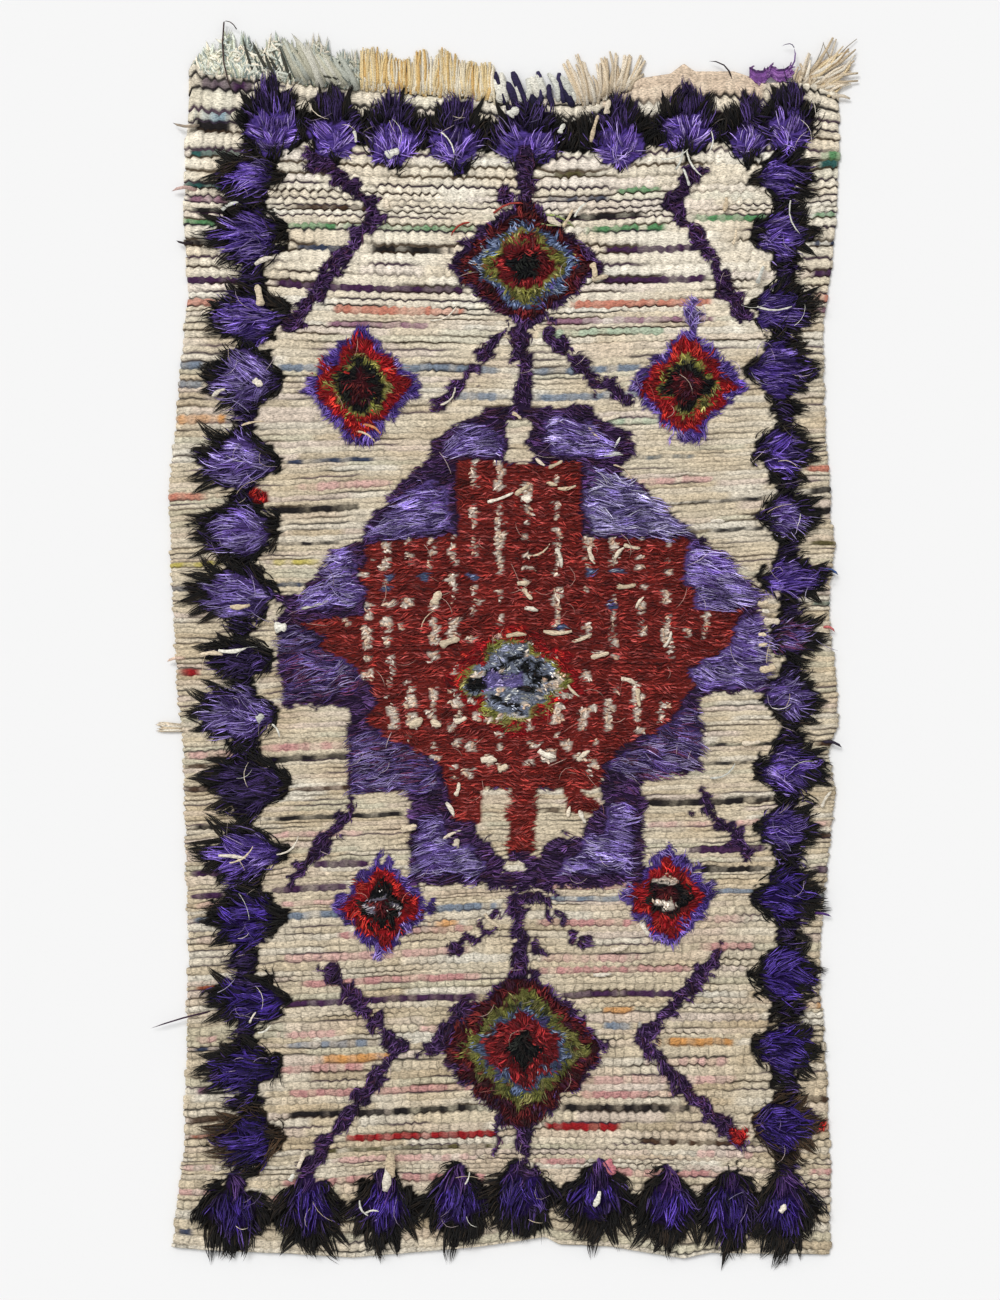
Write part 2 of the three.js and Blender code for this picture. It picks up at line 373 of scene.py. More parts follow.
# ---- Materials ----
class Graph:
    """A new material and its nodes. Whatever feeds a node is a number, a vector or another node's output."""

    def __init__(self, name, roughness, specular):
        self.material = bpy.data.materials.new(name)
        self.material.use_nodes = True
        self.tree = self.material.node_tree
        self.shader = self.tree.nodes["Principled BSDF"]
        self.dress("Roughness", roughness)
        self.dress("Specular IOR Level", specular)

    def feed(self, socket, value):
        if isinstance(value, bpy.types.NodeSocket):
            self.tree.links.new(value, socket)
        else:
            socket.default_value = value

    def dress(self, name, value):
        """Feeds one of the shader's own inputs."""
        self.feed(self.shader.inputs[name], value)

    def node(self, kind, inputs, **settings):
        """A new node with these settings, whose inputs are fed by name or by number."""
        node = self.tree.nodes.new("ShaderNode" + kind)
        for name, value in settings.items():
            setattr(node, name, value)
        for key, value in inputs.items():
            self.feed(node.inputs[key], value)
        return node

    def attribute(self, name):
        return self.node("Attribute", {}, attribute_name=name)

    def maths(self, operation, *values):
        return self.node("Math", dict(enumerate(values)), operation=operation).outputs["Value"]

    def noise(self, scale, detail, stretch=(1, 1, 1)):
        """Noise on Object coordinates, squeezed or drawn out along each axis."""
        place_node = self.node("TexCoord", {})
        mapping = self.node("Mapping", {"Vector": place_node.outputs["Object"], "Scale": stretch})
        inputs = {"Vector": mapping.outputs["Vector"], "Scale": scale, "Detail": detail}
        return self.node("TexNoise", inputs).outputs["Fac"]

    def ramp(self, value, start, stop, low, high):
        """A number that goes from low to high as the value goes from start to stop."""
        inputs = {"Value": value, "From Min": start, "From Max": stop, "To Min": low, "To Max": high}
        return self.node("MapRange", inputs).outputs["Result"]

    def scaled(self, colour, factor):
        return self.node("VectorMath", {0: colour, "Scale": factor}, operation="SCALE").outputs["Vector"]

    def bump(self, height, distance):
        self.dress("Normal", self.node("Bump", {"Height": height, "Distance": distance}).outputs["Normal"])


WAVER, SEAM_BREAKS = 30.0, 60.0  # scales of the noise that bends the seams, and of the one that breaks them
SEAM_DEPTH = 0.34  # a seam's shade, where 1 is none
KNOT_TINTS = (-0.13, 0.09)  # the darkest and the lightest knot


def seamed(graph, colour):
    """Hairline seams between the knots and between the rows, and knots that differ a little in shade."""
    weave = graph.attribute("Weave")
    parts = graph.node("SeparateXYZ", {"Vector": weave.outputs["Vector"]})
    along, level, loose = (parts.outputs[axis] for axis in "XYZ")
    strength = weave.outputs["Alpha"]
    waver = graph.noise(WAVER, 2.0)
    level = graph.maths("MULTIPLY_ADD", waver, 0.5, graph.maths("SUBTRACT", level, 0.25))
    row = graph.maths("FLOOR", level)
    start = graph.node("TexWhiteNoise", {"W": row}, noise_dimensions="1D")
    shift = graph.maths("MULTIPLY", start.outputs["Value"], loose)
    place_in_row = graph.maths("ADD", along, graph.maths("MULTIPLY_ADD", waver, 1.6, shift))
    off_knot = graph.maths("PINGPONG", place_in_row, 0.5)
    off_row = graph.maths("PINGPONG", level, 0.5)
    upright = graph.ramp(off_knot, 0.03, 0.1, 1.0, 0.0)
    upright = graph.maths("MULTIPLY", upright, graph.ramp(loose, 0.0, 1.0, 1.0, 0.45))
    seam = graph.maths("MAXIMUM", upright, graph.ramp(off_row, 0.04, 0.14, 1.0, 0.0))
    seam = graph.maths("MULTIPLY", seam, graph.ramp(graph.noise(SEAM_BREAKS, 2.0), 0.38, 0.6, 0.05, 1.0))
    seam = graph.maths("MULTIPLY", seam, strength)
    pair = graph.node("CombineXYZ", {"X": graph.maths("FLOOR", place_in_row), "Y": row})
    tint = graph.node("TexWhiteNoise", {"Vector": pair.outputs["Vector"]}, noise_dimensions="2D")
    uneven = graph.ramp(tint.outputs["Value"], 0.0, 1.0, *KNOT_TINTS)
    uneven = graph.maths("MULTIPLY_ADD", uneven, strength, 1.0)
    return graph.scaled(colour, graph.maths("MULTIPLY", uneven, graph.ramp(seam, 0.0, 1.0, 1.0, SEAM_DEPTH)))


def dyed(name, roughness, specular, *shades):
    """A material that takes its colour from the attribute Dye, times a noise for each shade."""
    graph = Graph(name, roughness, specular)
    colour = graph.attribute("Dye").outputs["Color"]
    noises = []
    for scale, detail, stretch, ramp in shades:
        noises.append(graph.noise(scale, detail, stretch))
        colour = graph.scaled(colour, graph.ramp(noises[-1], *ramp))
    return graph, colour, noises[0]


def cotton(name, woven):
    """Torn cotton strips: fine threads that run along the rows, with lighter and darker flecks."""
    threads = (430.0, 4.0, (0.45, 1, 1), (0.3, 0.7, 0.55, 1.34))
    flecks = (300.0, 2.0, (0.6, 1, 1), (0.3, 0.4, 0.62, 1.0))
    graph, colour, fibre = dyed(name, 0.95, 0.15, threads, flecks)
    graph.dress("Base Color", seamed(graph, colour) if woven else colour)
    graph.bump(fibre, 0.0018)
    return graph.material


def rag_cotton():
    return cotton("rag_cotton", False)


def woven_cotton():
    return cotton("woven_cotton", True)


def combed_wool():
    """Hand-spun wool: a faint sheen, lighter and darker from one lock to the next and from hair to hair."""
    locks = (150.0, 1.0, (1, 1, 1), (0.3, 0.7, 0.74, 1.26))
    hairs = (760.0, 1.0, (1, 1, 1), (0.3, 0.7, 0.6, 1.4))
    graph, colour, _ = dyed("combed_wool", 0.75, 0.2, locks, hairs)
    graph.dress("Base Color", colour)
    graph.dress("Sheen Weight", 0.03)
    graph.dress("Sheen Roughness", 0.4)
    return graph.material


def marled_yarn():
    """Plied yarn whose strands differ in colour, so it looks speckled."""
    plies = (620.0, 2.0, (1, 1, 1), (0.3, 0.7, 0.55, 1.3))
    graph, colour, ply = dyed("marled_yarn", 0.92, 0.15, plies)
    graph.dress("Base Color", colour)
    graph.bump(ply, 0.0012)
    return graph.material


# ---- The rows ----
Rag = namedtuple("Rag", "colour width worn")
# Each dyed rag: its colour, the width of its row, and how much undyed rag shows through it.
RAGS = {
    name: Rag(linear(code), width, worn)
    for name, code, width, worn in (
        ("black", 0x231F20, 12.0, 0.6), ("thread", 0x2C292A, 5.5, 1.6), ("navy", 0x3A4258, 9.0, 1.2),
        ("plum", 0x46294A, 12.5, 0.5), ("brown", 0x4C382B, 9.0, 1.0), ("grey", 0x7C7E7C, 9.0, 1.2),
        ("slate", 0x7E8998, 13.5, 1.2), ("sky", 0x8CA8B6, 12.0, 1.0), ("teal", 0x35605C, 10.0, 1.0),
        ("green", 0x5E9262, 11.0, 1.4), ("mint", 0xB7C6AC, 13.0, 1.0), ("olive", 0x5E5637, 8.5, 1.2),
        ("salmon", 0xCC8570, 13.5, 0.9), ("mauve", 0x987082, 11.0, 1.2), ("pink", 0xD9B0A6, 14.0, 1.8),
        ("rose", 0xC8928E, 13.0, 1.8), ("peach", 0xE6CFB6, 19.0, 0.5), ("red", 0x9A2024, 13.5, 0.7),
        ("rust", 0x94503A, 9.0, 1.0), ("orange", 0xD69A5C, 14.0, 1.8), ("yellow", 0xC7B862, 12.0, 0.9),
    )
}
# Undyed rag is never one colour: a row passes from one of these to the next every hand's breadth. Each comes
# as often as its weight says.
UNDYED = palette_of(
    (0xDCCCB0, 0xD9C9AE, 0xE0D2BA, 0xD4C2A4, 0xDCCAB2, 0xD2C8AE, 0xDCCAB8, 0xCBB99C, 0xE3D8C4)
)
UNDYED_WEIGHTS = np.array([5, 4, 4, 2, 2, 2, 1.5, 1.2, 2.5])
# The dark yarn that shows where two rows have parted.
WEFTS = palette_of((0x352338, 0x3E2C26, 0x2B2729, 0x4A3A2C, 0x473046, 0x5C4C3A))
BLEACHED = np.array(linear(0xE6E2D6))

# The stripes of dyed rag: the height, from which x to which, and the rag.
STRIPES = table(
    namedtuple("Stripe", "y start end rag"),
    # y, from x, to x, rag: the left margin
    (1008, -560, -460, "plum"), (955, -560, -500, "sky"), (936, -560, -500, "black"),
    (886, -570, -480, "teal"), (835, -570, -500, "teal"), (812, -570, -490, "mauve"),
    (793, -570, -470, "black"), (772, -575, -500, "green"), (738, -580, -440, "black"),
    (670, -580, -480, "plum"), (632, -590, -500, "salmon"), (523, -580, -530, "slate"),
    (486, -580, -530, "slate"), (427, -585, -480, "orange"), (290, -595, -500, "salmon"),
    (170, -590, -500, "yellow"), (130, -590, -530, "navy"), (-16, -575, -530, "red"),
    (-163, -570, -480, "pink"), (-182, -565, -480, "brown"), (-222, -565, -480, "brown"),
    (-285, -560, -470, "black"), (-366, -562, -480, "plum"), (-404, -562, -480, "plum"),
    (-425, -562, -500, "pink"), (-450, -562, -510, "slate"), (-488, -562, -500, "pink"),
    (-574, -560, -500, "rust"), (-658, -562, -520, "pink"), (-676, -562, -500, "navy"),
    (-752, -565, -530, "mauve"), (-800, -565, -500, "brown"), (-831, -565, -510, "rust"),
    (-887, -575, -500, "pink"), (-931, -580, -500, "pink"), (-998, -586, -540, "navy"),
    # the field, left of the middle
    (796, -402, -236, "brown"), (758, -390, -54, "green"), (724, -376, -271, "navy"),
    (717, -234, -105, "black"), (653, -422, -75, "plum"), (614, -317, -75, "salmon"),
    (592, -324, -130, "mauve"), (511, -395, -9, "slate"), (466, -90, 0, "slate"), (353, -371, -219, "navy"),
    (311, -348, -192, "pink"), (269, -402, -238, "black"), (212, -402, -290, "thread"),
    (178, -402, -310, "yellow"), (138, -400, -345, "navy"), (-147, -430, -278, "rose"),
    (-169, -430, -262, "black"), (-219, -371, -278, "brown"), (-270, -411, -180, "black"),
    (-303, -411, -260, "pink"), (-355, -348, -243, "plum"), (-399, -418, -282, "plum"),
    (-422, -418, -282, "pink"), (-427, -133, -9, "slate"), (-443, -418, -282, "slate"),
    (-457, -135, -90, "orange"), (-470, -300, -60, "rose"), (-554, -368, -37, "rose"),
    (-592, -408, -37, "plum"), (-651, -400, -300, "pink"), (-669, -392, -210, "slate"),
    (-691, -331, -207, "orange"), (-750, -390, -60, "rose"), (-788, -392, -49, "black"),
    (-828, -285, -12, "red"), (-850, -324, -26, "olive"), (-903, -390, -30, "rose"),
    (-512, -410, -60, "pink"), (-640, -150, -40, "pink"), (-710, -400, -250, "rose"),
    (-868, -300, -60, "pink"), (-936, -430, -380, "rose"),
    # the field, right of the middle
    (852, 61, 166, "olive"), (826, 184, 256, "green"), (812, 58, 166, "navy"), (782, 90, 236, "black"),
    (763, 138, 270, "green"), (775, 306, 466, "green"), (723, 175, 317, "plum"), (668, 158, 354, "plum"),
    (625, 114, 362, "salmon"), (598, 77, 373, "mauve"), (578, 77, 292, "mint"), (515, 49, 247, "slate"),
    (467, 49, 247, "slate"), (422, 180, 277, "mint"), (362, 214, 341, "grey"), (320, 247, 371, "pink"),
    (282, 292, 453, "thread"), (230, 320, 460, "thread"), (-144, 347, 471, "thread"),
    (-177, 347, 471, "thread"), (-243, 243, 466, "black"), (-259, 61, 119, "brown"),
    (-282, 243, 466, "pink"), (-327, 330, 460, "plum"), (-362, 340, 465, "black"), (-390, 58, 214, "rose"),
    (-411, 86, 214, "slate"), (-400, 368, 450, "slate"), (-453, 58, 236, "rose"), (-450, 368, 450, "rose"),
    (-495, 350, 455, "rose"), (-539, 58, 334, "rose"), (-581, 116, 341, "plum"), (-610, 180, 230, "orange"),
    (-640, 180, 240, "slate"), (-662, 280, 411, "orange"), (-700, 260, 400, "pink"),
    (-728, 120, 411, "pink"), (-779, 98, 322, "black"), (-816, 70, 207, "red"), (-840, 236, 446, "brown"),
    (-872, 53, 152, "rose"), (-894, 168, 375, "rose"), (-518, 70, 250, "pink"), (-620, 60, 110, "pink"),
    (-860, 330, 440, "pink"), (-756, 130, 300, "rose"), (1024, 130, 450, "peach"),
    (1004, 150, 450, "peach"),
    # the right margin
    (891, 540, 600, "green"), (870, 540, 600, "teal"), (788, 540, 600, "green"), (735, 540, 600, "navy"),
    (681, 545, 600, "plum"), (642, 545, 600, "salmon"), (618, 545, 600, "mauve"), (341, 535, 600, "salmon"),
    (305, 535, 600, "black"), (268, 530, 600, "black"), (210, 535, 600, "olive"), (161, 540, 600, "navy"),
    (102, 550, 600, "teal"), (-137, 550, 600, "brown"), (-282, 540, 600, "pink"), (-306, 540, 600, "brown"),
    (-364, 545, 600, "plum"), (-408, 545, 600, "grey"), (-600, 530, 580, "orange"),
    (-768, 540, 580, "brown"), (-812, 545, 580, "red"), (-889, 540, 580, "rose"),
)

# How far a row stands above its own middle where it meets the left and the right edge, by height.
SAGS = table(
    namedtuple("Sag", "y left right"),
    (-900, -14, -12), (-784, -24, -2), (-679, -18, 10), (-574, -28, 4), (-416, -26, 12), (-276, -24, 14),
    (-154, -20, 18), (108, -14, 14), (301, -22, 24), (511, 8, 8), (634, 20, 17), (721, 16, 14),
    (870, 18, 15),
)
# How the rows change from the foot to the head: their pitch, how deep they are cut apart, how far one knot
# stands out from the next, how light the painted shade leaves the gap between two rows, how often two rows
# part, how evenly the knots are spaced, how dark the seams are, how light the rag is, and how far it is
# bleached.
WEAVES = table(
    namedtuple("Weave", "y pitch depth knots gap open even seam light bleach"),
    (-1040, 14.0, 4.2, 0.6, 0.44, 0.38, 0.85, 0.8, 0.98, 0.0),
    (-520, 13.0, 4.0, 0.55, 0.46, 0.38, 0.85, 0.8, 0.97, 0.0),
    (-380, 10.5, 2.6, 0.3, 0.56, 0.3, 0.6, 0.75, 0.96, 0.0),
    (-250, 9.2, 2.1, 0.2, 0.62, 0.22, 0.0, 0.7, 0.98, 0.0),
    (250, 9.0, 2.1, 0.2, 0.64, 0.2, 0.0, 0.7, 0.99, 0.0),
    (450, 10.2, 2.4, 0.25, 0.58, 0.2, 0.0, 0.7, 1.03, 0.1),
    (600, 12.5, 3.6, 0.4, 0.46, 0.6, 0.0, 0.4, 1.14, 0.2),
    (690, 17.5, 5.2, 0.65, 0.40, 1.1, 0.0, 0.0, 1.24, 0.4),
    (1060, 19.5, 5.8, 0.7, 0.40, 1.1, 0.0, 0.0, 1.30, 0.4),
)
HALF_WIDTH = 575.0
HEAD_MIDDLE, FOOT_MIDDLE = 988.0, -1012.0
SAG_CURVE = 1.3
SAME_ROW = 0.42  # stripes closer than this share of the pitch lie in one row
HEAD_CLEAR = 8.0  # no stripe's row lies nearer than this to the last row


def weave_at(y, name):
    return np.interp(y, column(WEAVES, "y"), column(WEAVES, name))


def sag(x, y):
    """How far the row through (0, y) has risen where it passes x. It follows the rim at the head and foot."""
    heights = column(SAGS, "y")
    left, right = (np.interp(y, heights, column(SAGS, side)) for side in ("left", "right"))
    field = np.where(x < 0, left, right) * np.abs(x / HALF_WIDTH) ** SAG_CURVE
    to_head = np.clip((y - heights[-1]) / (HEAD_MIDDLE - heights[-1]), 0, 1)
    to_foot = np.clip((heights[0] - y) / (heights[0] - FOOT_MIDDLE), 0, 1)
    rim = to_head * (head_at(x) - HEAD_MIDDLE) + to_foot * (foot_at(x) - FOOT_MIDDLE)
    return field * (1 - to_head - to_foot) + rim


def row_heights():
    """The height of each row where it crosses x = 0, from the foot up, and the row that holds each stripe."""
    levels = []
    for stripe in STRIPES:
        x = np.clip((stripe.start + stripe.end) / 2, -HALF_WIDTH, HALF_WIDTH)
        level = stripe.y
        for _ in range(4):
            level = stripe.y - float(sag(x, level))
        levels.append(level)
    groups = [[FOOT_MIDDLE]]
    for level in sorted(levels):
        if level - np.mean(groups[-1]) > SAME_ROW * weave_at(level, "pitch"):
            groups.append([])
        groups[-1].append(level)
    anchors = [float(np.mean(group)) for group in groups]
    anchors = [level for level in anchors if level < HEAD_MIDDLE - HEAD_CLEAR] + [HEAD_MIDDLE]
    heights = [anchors[0]]
    for low, high in zip(anchors, anchors[1:]):
        count = max(1, round((high - low) / weave_at((low + high) / 2, "pitch")))
        heights += list(low + (high - low) * (np.arange(count) + 1) / count)
    heights = np.array(heights)
    return heights, [int(np.abs(heights - level).argmin()) for level in levels]


def piece_at(x, edges, last):
    """The number of the stretch between two edges in which each x lies."""
    return np.clip(np.searchsorted(edges, x, side="right") - 1, 0, last)


def knots_along(x, width, even, seed):
    """For each place along a row, how far it is through its knot, from 0 to 1, and the knot's number."""
    draw = chance(seed)
    count = int((x[-1] - x[0]) / width * 1.3) + 4
    widths = width * (1 + (1 - even) * draw.uniform(-0.35, 0.35, count))
    edges = x[0] - width * mix(draw.uniform(0, 1), 0.5, even) + np.concatenate([[0], np.cumsum(widths)])
    edges += even * draw.uniform(-1.2, 1.2, len(edges))
    number = piece_at(x, edges, count - 1)
    return (x - edges[number]) / (edges[number + 1] - edges[number]), number


RAG_LENGTHS = (70, 320)  # the shortest and the longest strip of undyed rag
RAGS_IN_ROW = 40  # strips laid out for a row, more than it needs
RAG_JOINT = 14.0  # one strip passes into the next over this length


def undyed_along(x, seed):
    """The colours of the undyed rag strips that follow one another along a row."""
    draw = chance(seed)
    edges = x[0] - 50 + np.concatenate([[0], np.cumsum(draw.uniform(*RAG_LENGTHS, RAGS_IN_ROW))])
    strip = piece_at(x, edges, RAGS_IN_ROW - 1)
    picks = draw.choice(len(UNDYED), RAGS_IN_ROW + 1, p=UNDYED_WEIGHTS / UNDYED_WEIGHTS.sum())
    share = np.clip((x - edges[strip + 1]) / RAG_JOINT + 1, 0, 1)[:, None]
    return mix(UNDYED[picks[strip]], UNDYED[picks[strip + 1]], share)


# The field is woven in three sheets. Each has its own step along the rows and its own stations across a row.
ZONES = table(
    namedtuple("Zone", "name start end step stations"),
    ("rows_foot", -2000, -330, 5.2, (0, 0.2, 0.5, 0.8)),
    ("rows_middle", -330, 560, 6.5, (0, 0.34, 0.7)),
    ("rows_head", 560, 2000, 4.6, (0, 0.11, 0.26, 0.48, 0.7, 0.89)),
)
# Where the rows of the head end are beaten up so tightly that no gap shows between them.
TIGHT_SPOTS = table(
    namedtuple("TightSpot", "x y wide high"), (362, 725, 100, 150), (-295, 688, 110, 44), (330, 1010, 140, 30)
)
ROW_INSET = 5.0  # a row's end stays up to this far behind the rim, and the seams a little further
SEAM_INSET = 2.2
CLOTH_EDGE = 14.0  # over this distance the sheet rises from its rim to its full height
EDGE_RISE = 0.55  # the share of its height that the sheet has at the rim
LOWEST = 3.0  # no point of the top lies lower than this above the floor
EASE = 36.0  # a stripe takes this far to reach its own width
GAP_SHARE = 0.12  # where two rows have parted, this share of the pitch shows the yarn between them
MARGIN_FROM = 490.0  # beyond this, at both sides, the rows part more often
SCALLOP = 0.42  # how far the knots of one row push into the next, as a share of the pitch
THINNEST = 1.2  # no row's half is thinner than this
LAST_HALF = 2.0  # half of the first and of the last row, which have no neighbour
ROW_THICKNESS = (0.25, 1.3)  # the least and the most that a row's width counts for, as shares of the pitch
ROUNDNESS = 0.5  # a row's round section, where a smaller number is flatter on top
THIN_SWELL = 0.45  # the share of the full swell that even the thinnest row has
CLOSED_SHADE = 0.9  # the painted shade between two rows that lie tight
ROW_SHADES = (0.12, 1.1)  # the darkest and the lightest painted shade on a row's own dye
KNOT_TINT, LONG_TINT = 0.06, 0.07  # how much one knot, and one stretch of a row, is lighter than the next
FRAY, FRAY_LENGTH = 7.0, 10.0  # how unevenly a stripe's ends stop, and over what length they fade
WARM_DRIFT = np.array([0.4, 0.8, 1.3])  # undyed rag drifts more in its blue than in its red


def spin_rows(near, heights, held, across, settings):
    """What each row shows along its length: dye, knots, the widths of dyed rags and how far they reach."""
    dye = np.zeros((len(near), len(across), 3))
    bulge, half, cover, spread, counted = (np.zeros(dye.shape[:2]) for _ in range(5))
    for i, row in enumerate(near):
        height = heights[row]
        undyed = undyed_along(across, settings.seed * 31 + row)
        dye[i] = mix(undyed, BLEACHED, weave_at(height, "bleach")) * weave_at(height, "light")
        dye[i] *= 1 + LONG_TINT * wander(across, height * 2.3, 170, settings.seed + 3)[:, None] * WARM_DRIFT
        even = weave_at(height, "even")
        phase, number = knots_along(across, settings.knot, even, settings.seed * 1000 + row)
        counted[i] = number + phase if even > 0.5 else across / settings.knot
        tint = chance(settings.seed * 77 + row).normal(0, 1, number.max() + 1)[number]
        dye[i] *= 1 + KNOT_TINT * tint[:, None] * (0.5 + weave_at(height, "knots"))
        bulge[i] = np.sin(math.pi * np.clip(phase, 0, 1)) ** 0.6
        for stripe in (stripe for stripe, at in zip(STRIPES, held) if at == row):
            rag = RAGS[stripe.rag]
            inside = np.minimum(across - stripe.start, stripe.end - across)
            share = np.clip((inside + FRAY * tint) / FRAY_LENGTH + 0.5, 0, 1)
            worn = 1.1 - 0.3 * np.abs(tint) * rag.worn + 0.2 * wander(across, row * 40, 45, 9)
            dye[i] = mix(dye[i], np.array(rag.colour), (share * np.clip(worn, 0.3, 1))[:, None])
            ease = np.clip(inside / EASE + 0.6, 0, 1)
            half[i] = mix(half[i], rag.width / 2 * (0.6 + 0.55 * bulge[i]), ease)
            cover[i] = np.maximum(cover[i], share)
            spread[i] = np.maximum(spread[i], ease)
    return dye, bulge, half, cover, spread, counted


def row_borders(level, bulge, half, cover, spread):
    """Where each row meets the next: halfway or at a dyed rag's edge, and scalloped by the knots."""
    free = (level[:-1] + level[1:]) / 2
    hold = spread[:-1] + spread[1:] + 1e-6
    tied = (spread[:-1] * (level[:-1] + half[:-1]) + spread[1:] * (level[1:] - half[1:])) / hold
    borders = mix(free, tied, np.maximum(spread[:-1], spread[1:]))
    crest = (bulge - 0.6) * (1 - 0.85 * cover)
    borders += SCALLOP * weave_at(free, "pitch") * weave_at(free, "knots") * (crest[:-1] - crest[1:])
    return np.clip(borders, level[:-1] + THINNEST, level[1:] - THINNEST)


def closed_along(across, row, height, often, seed):
    """How tightly a row lies against its neighbour along its length, from 0 where they part to 1."""
    tight = sum(
        np.exp(-(((across - spot.x) / spot.wide) ** 2) - ((height - spot.y) / spot.high) ** 2)
        for spot in TIGHT_SPOTS
    )
    margin = np.clip((np.abs(across) - MARGIN_FROM) / 40, 0, 1)
    return np.clip(1 - often + wander(across, row * 53.0, 230, seed + 15) + tight - 0.25 * margin, 0, 1)


def settle(middle, along, inset, seed):
    """Where the lines' points come to lie, once the rows sag, waver and end at the rim."""
    start, end = inset[..., 0], inset[..., 1]
    x = np.broadcast_to(mix(-HALF_WIDTH, HALF_WIDTH, along), middle.shape)
    for _ in range(2):
        y = middle + sag(x, middle)
        y += 2.4 * wander(x, middle, 240, seed + 5) + 1.3 * wander(x, middle, 36, seed + 6)
        y = np.clip(y, foot_at(x), head_at(x))
        x = left_at(y) + start + along * (right_at(y) - left_at(y) - start - end)
    return x, y


Row = namedtuple("Row", "number height dye bulge cover counted low high")


def lines_of_row(row, stations, across, settings):
    """The row's lines of points, one for each station across it: y, z, dye, weave, and inset at both ends."""
    names = ("pitch", "depth", "knots", "gap", "open", "even", "seam")
    pitch, depth, knots, gap, often, even, seam = (weave_at(row.height, name) for name in names)
    span = row.high - row.low
    thick = np.clip(span / pitch, *ROW_THICKNESS)
    closed = closed_along(across, row.number, row.height, often, settings.seed)
    crevice_shade = mix(gap, CLOSED_SHADE, closed)
    weft = WEFTS[chance(settings.seed * 5 + row.number).integers(len(WEFTS))]
    parted = np.clip(2.2 * (0.5 - closed), 0, 0.9)
    inset = chance(settings.seed * 13 + row.number).uniform(0, ROW_INSET, 2)
    hollow = 1 - row.bulge
    for station in stations:
        swell = math.sin(math.pi * station) ** ROUNDNESS if 0 < station < 1 else 0.0
        in_gap, on_seam = station < GAP_SHARE, swell == 0
        lift = swell * (1 - knots * 0.7 * hollow) * mix(THIN_SWELL, 1, np.minimum(1, thick))
        lift = lift * (1 - 0.9 * in_gap * parted)
        dip = depth * (1 - 0.55 * closed) * on_seam
        z = settings.crest - depth * (not on_seam) + lift * depth - dip * (1 + 0.8 * knots * hollow)
        # The row is painted darker where it dips, towards the gaps between rows and in the hollows between
        # knots: painted shade for these crevices, on top of the weft that shows where two rows part.
        shade = crevice_shade + (1 - crevice_shade) * np.minimum(1, 1.25 * lift + 0.25 * row.cover * (not on_seam))
        shade *= 1 - 0.3 * knots * hollow
        tint = row.dye * np.clip(shade, *ROW_SHADES)[:, None]
        tint = mix(tint, weft, parted[:, None]) if in_gap else tint
        weave = np.tile((row.number + station, 1 - even, seam), (len(across), 1))
        weave = np.column_stack([row.counted, weave])
        yield row.low + station * span, z, tint, weave, inset + SEAM_INSET * on_seam


def row_field(zone, heights, held, settings):
    """The zone's surface as grids of x, y, z, dye and weave, a line of points for each station of a row."""
    rows = np.nonzero((heights >= zone.start) & (heights < zone.end))[0]
    near = np.arange(max(rows[0] - 1, 0), min(rows[-1] + 2, len(heights)))
    across = np.linspace(-HALF_WIDTH, HALF_WIDTH, int(2 * HALF_WIDTH / zone.step) + 1)
    dye, bulge, half, cover, spread, counted = spin_rows(near, heights, held, across, settings)
    borders = row_borders(heights[near][:, None], bulge, half, cover, spread)
    if near[0] == rows[0]:
        borders = np.vstack([np.full(len(across), FOOT_MIDDLE - LAST_HALF), borders])
    if near[-1] == rows[-1]:
        borders = np.vstack([borders, np.full(len(across), HEAD_MIDDLE + LAST_HALF)])
    kept = np.isin(near, rows)
    shown = (part[kept] for part in (dye, bulge, cover, counted))
    lines = []
    for row in map(Row, rows, heights[rows], *shown, borders, borders[1:]):
        stations = zone.stations + ((1,) if row.number == rows[-1] else ())
        lines += lines_of_row(row, stations, across, settings)
    middle, z, colours, weave, inset = (np.array([line[part] for line in lines]) for part in range(5))
    along = np.broadcast_to((across + HALF_WIDTH) / (2 * HALF_WIDTH), middle.shape)
    x, y = settle(middle, along, inset[:, None, :], settings.seed)
    z = z + 0.6 * wander(x, y, 110, settings.seed + 9)
    to_end = np.minimum(along, 1 - along) * 2 * HALF_WIDTH
    z = np.maximum(LOWEST, z * np.clip(EDGE_RISE + to_end / CLOTH_EDGE, 0, 1))
    return x, y, z, colours, weave


def sheet_of(name, x, y, z, colours, weave):
    """A closed sheet with a flat underside, whose top is a grid of points."""
    lines, columns = x.shape
    bm = bmesh.new()
    bmesh.ops.create_grid(bm, x_segments=columns - 1, y_segments=lines - 1, size=0.5)
    rim = [edge for edge in bm.edges if edge.is_boundary]
    low = new_verts(bmesh.ops.extrude_edge_only(bm, edges=rim)["geom"])
    bmesh.ops.translate(bm, verts=low, vec=(0, 0, -1))
    bmesh.ops.holes_fill(bm, edges=[edge for edge in bm.edges if edge.is_boundary], sides=0)
    bmesh.ops.recalc_face_normals(bm, faces=bm.faces)
    mesh = bpy.data.meshes.new(name)
    bm.to_mesh(mesh)
    bm.free()
    flat = np.array([v.co for v in mesh.vertices])
    span = flat.max(0) - flat.min(0)
    at = np.round((flat - flat.min(0)) / span * (columns - 1, lines - 1, 1)).astype(int)
    cell, above = (at[:, 1], at[:, 0]), at[:, 2] == 1
    points = np.column_stack([x[cell], y[cell], z[cell] * above])
    mesh.vertices.foreach_set("co", place(points).ravel())
    mesh.update()
    paint_points(mesh, colours[cell])
    write_colours(mesh, "Weave", weave[cell])
    return mesh


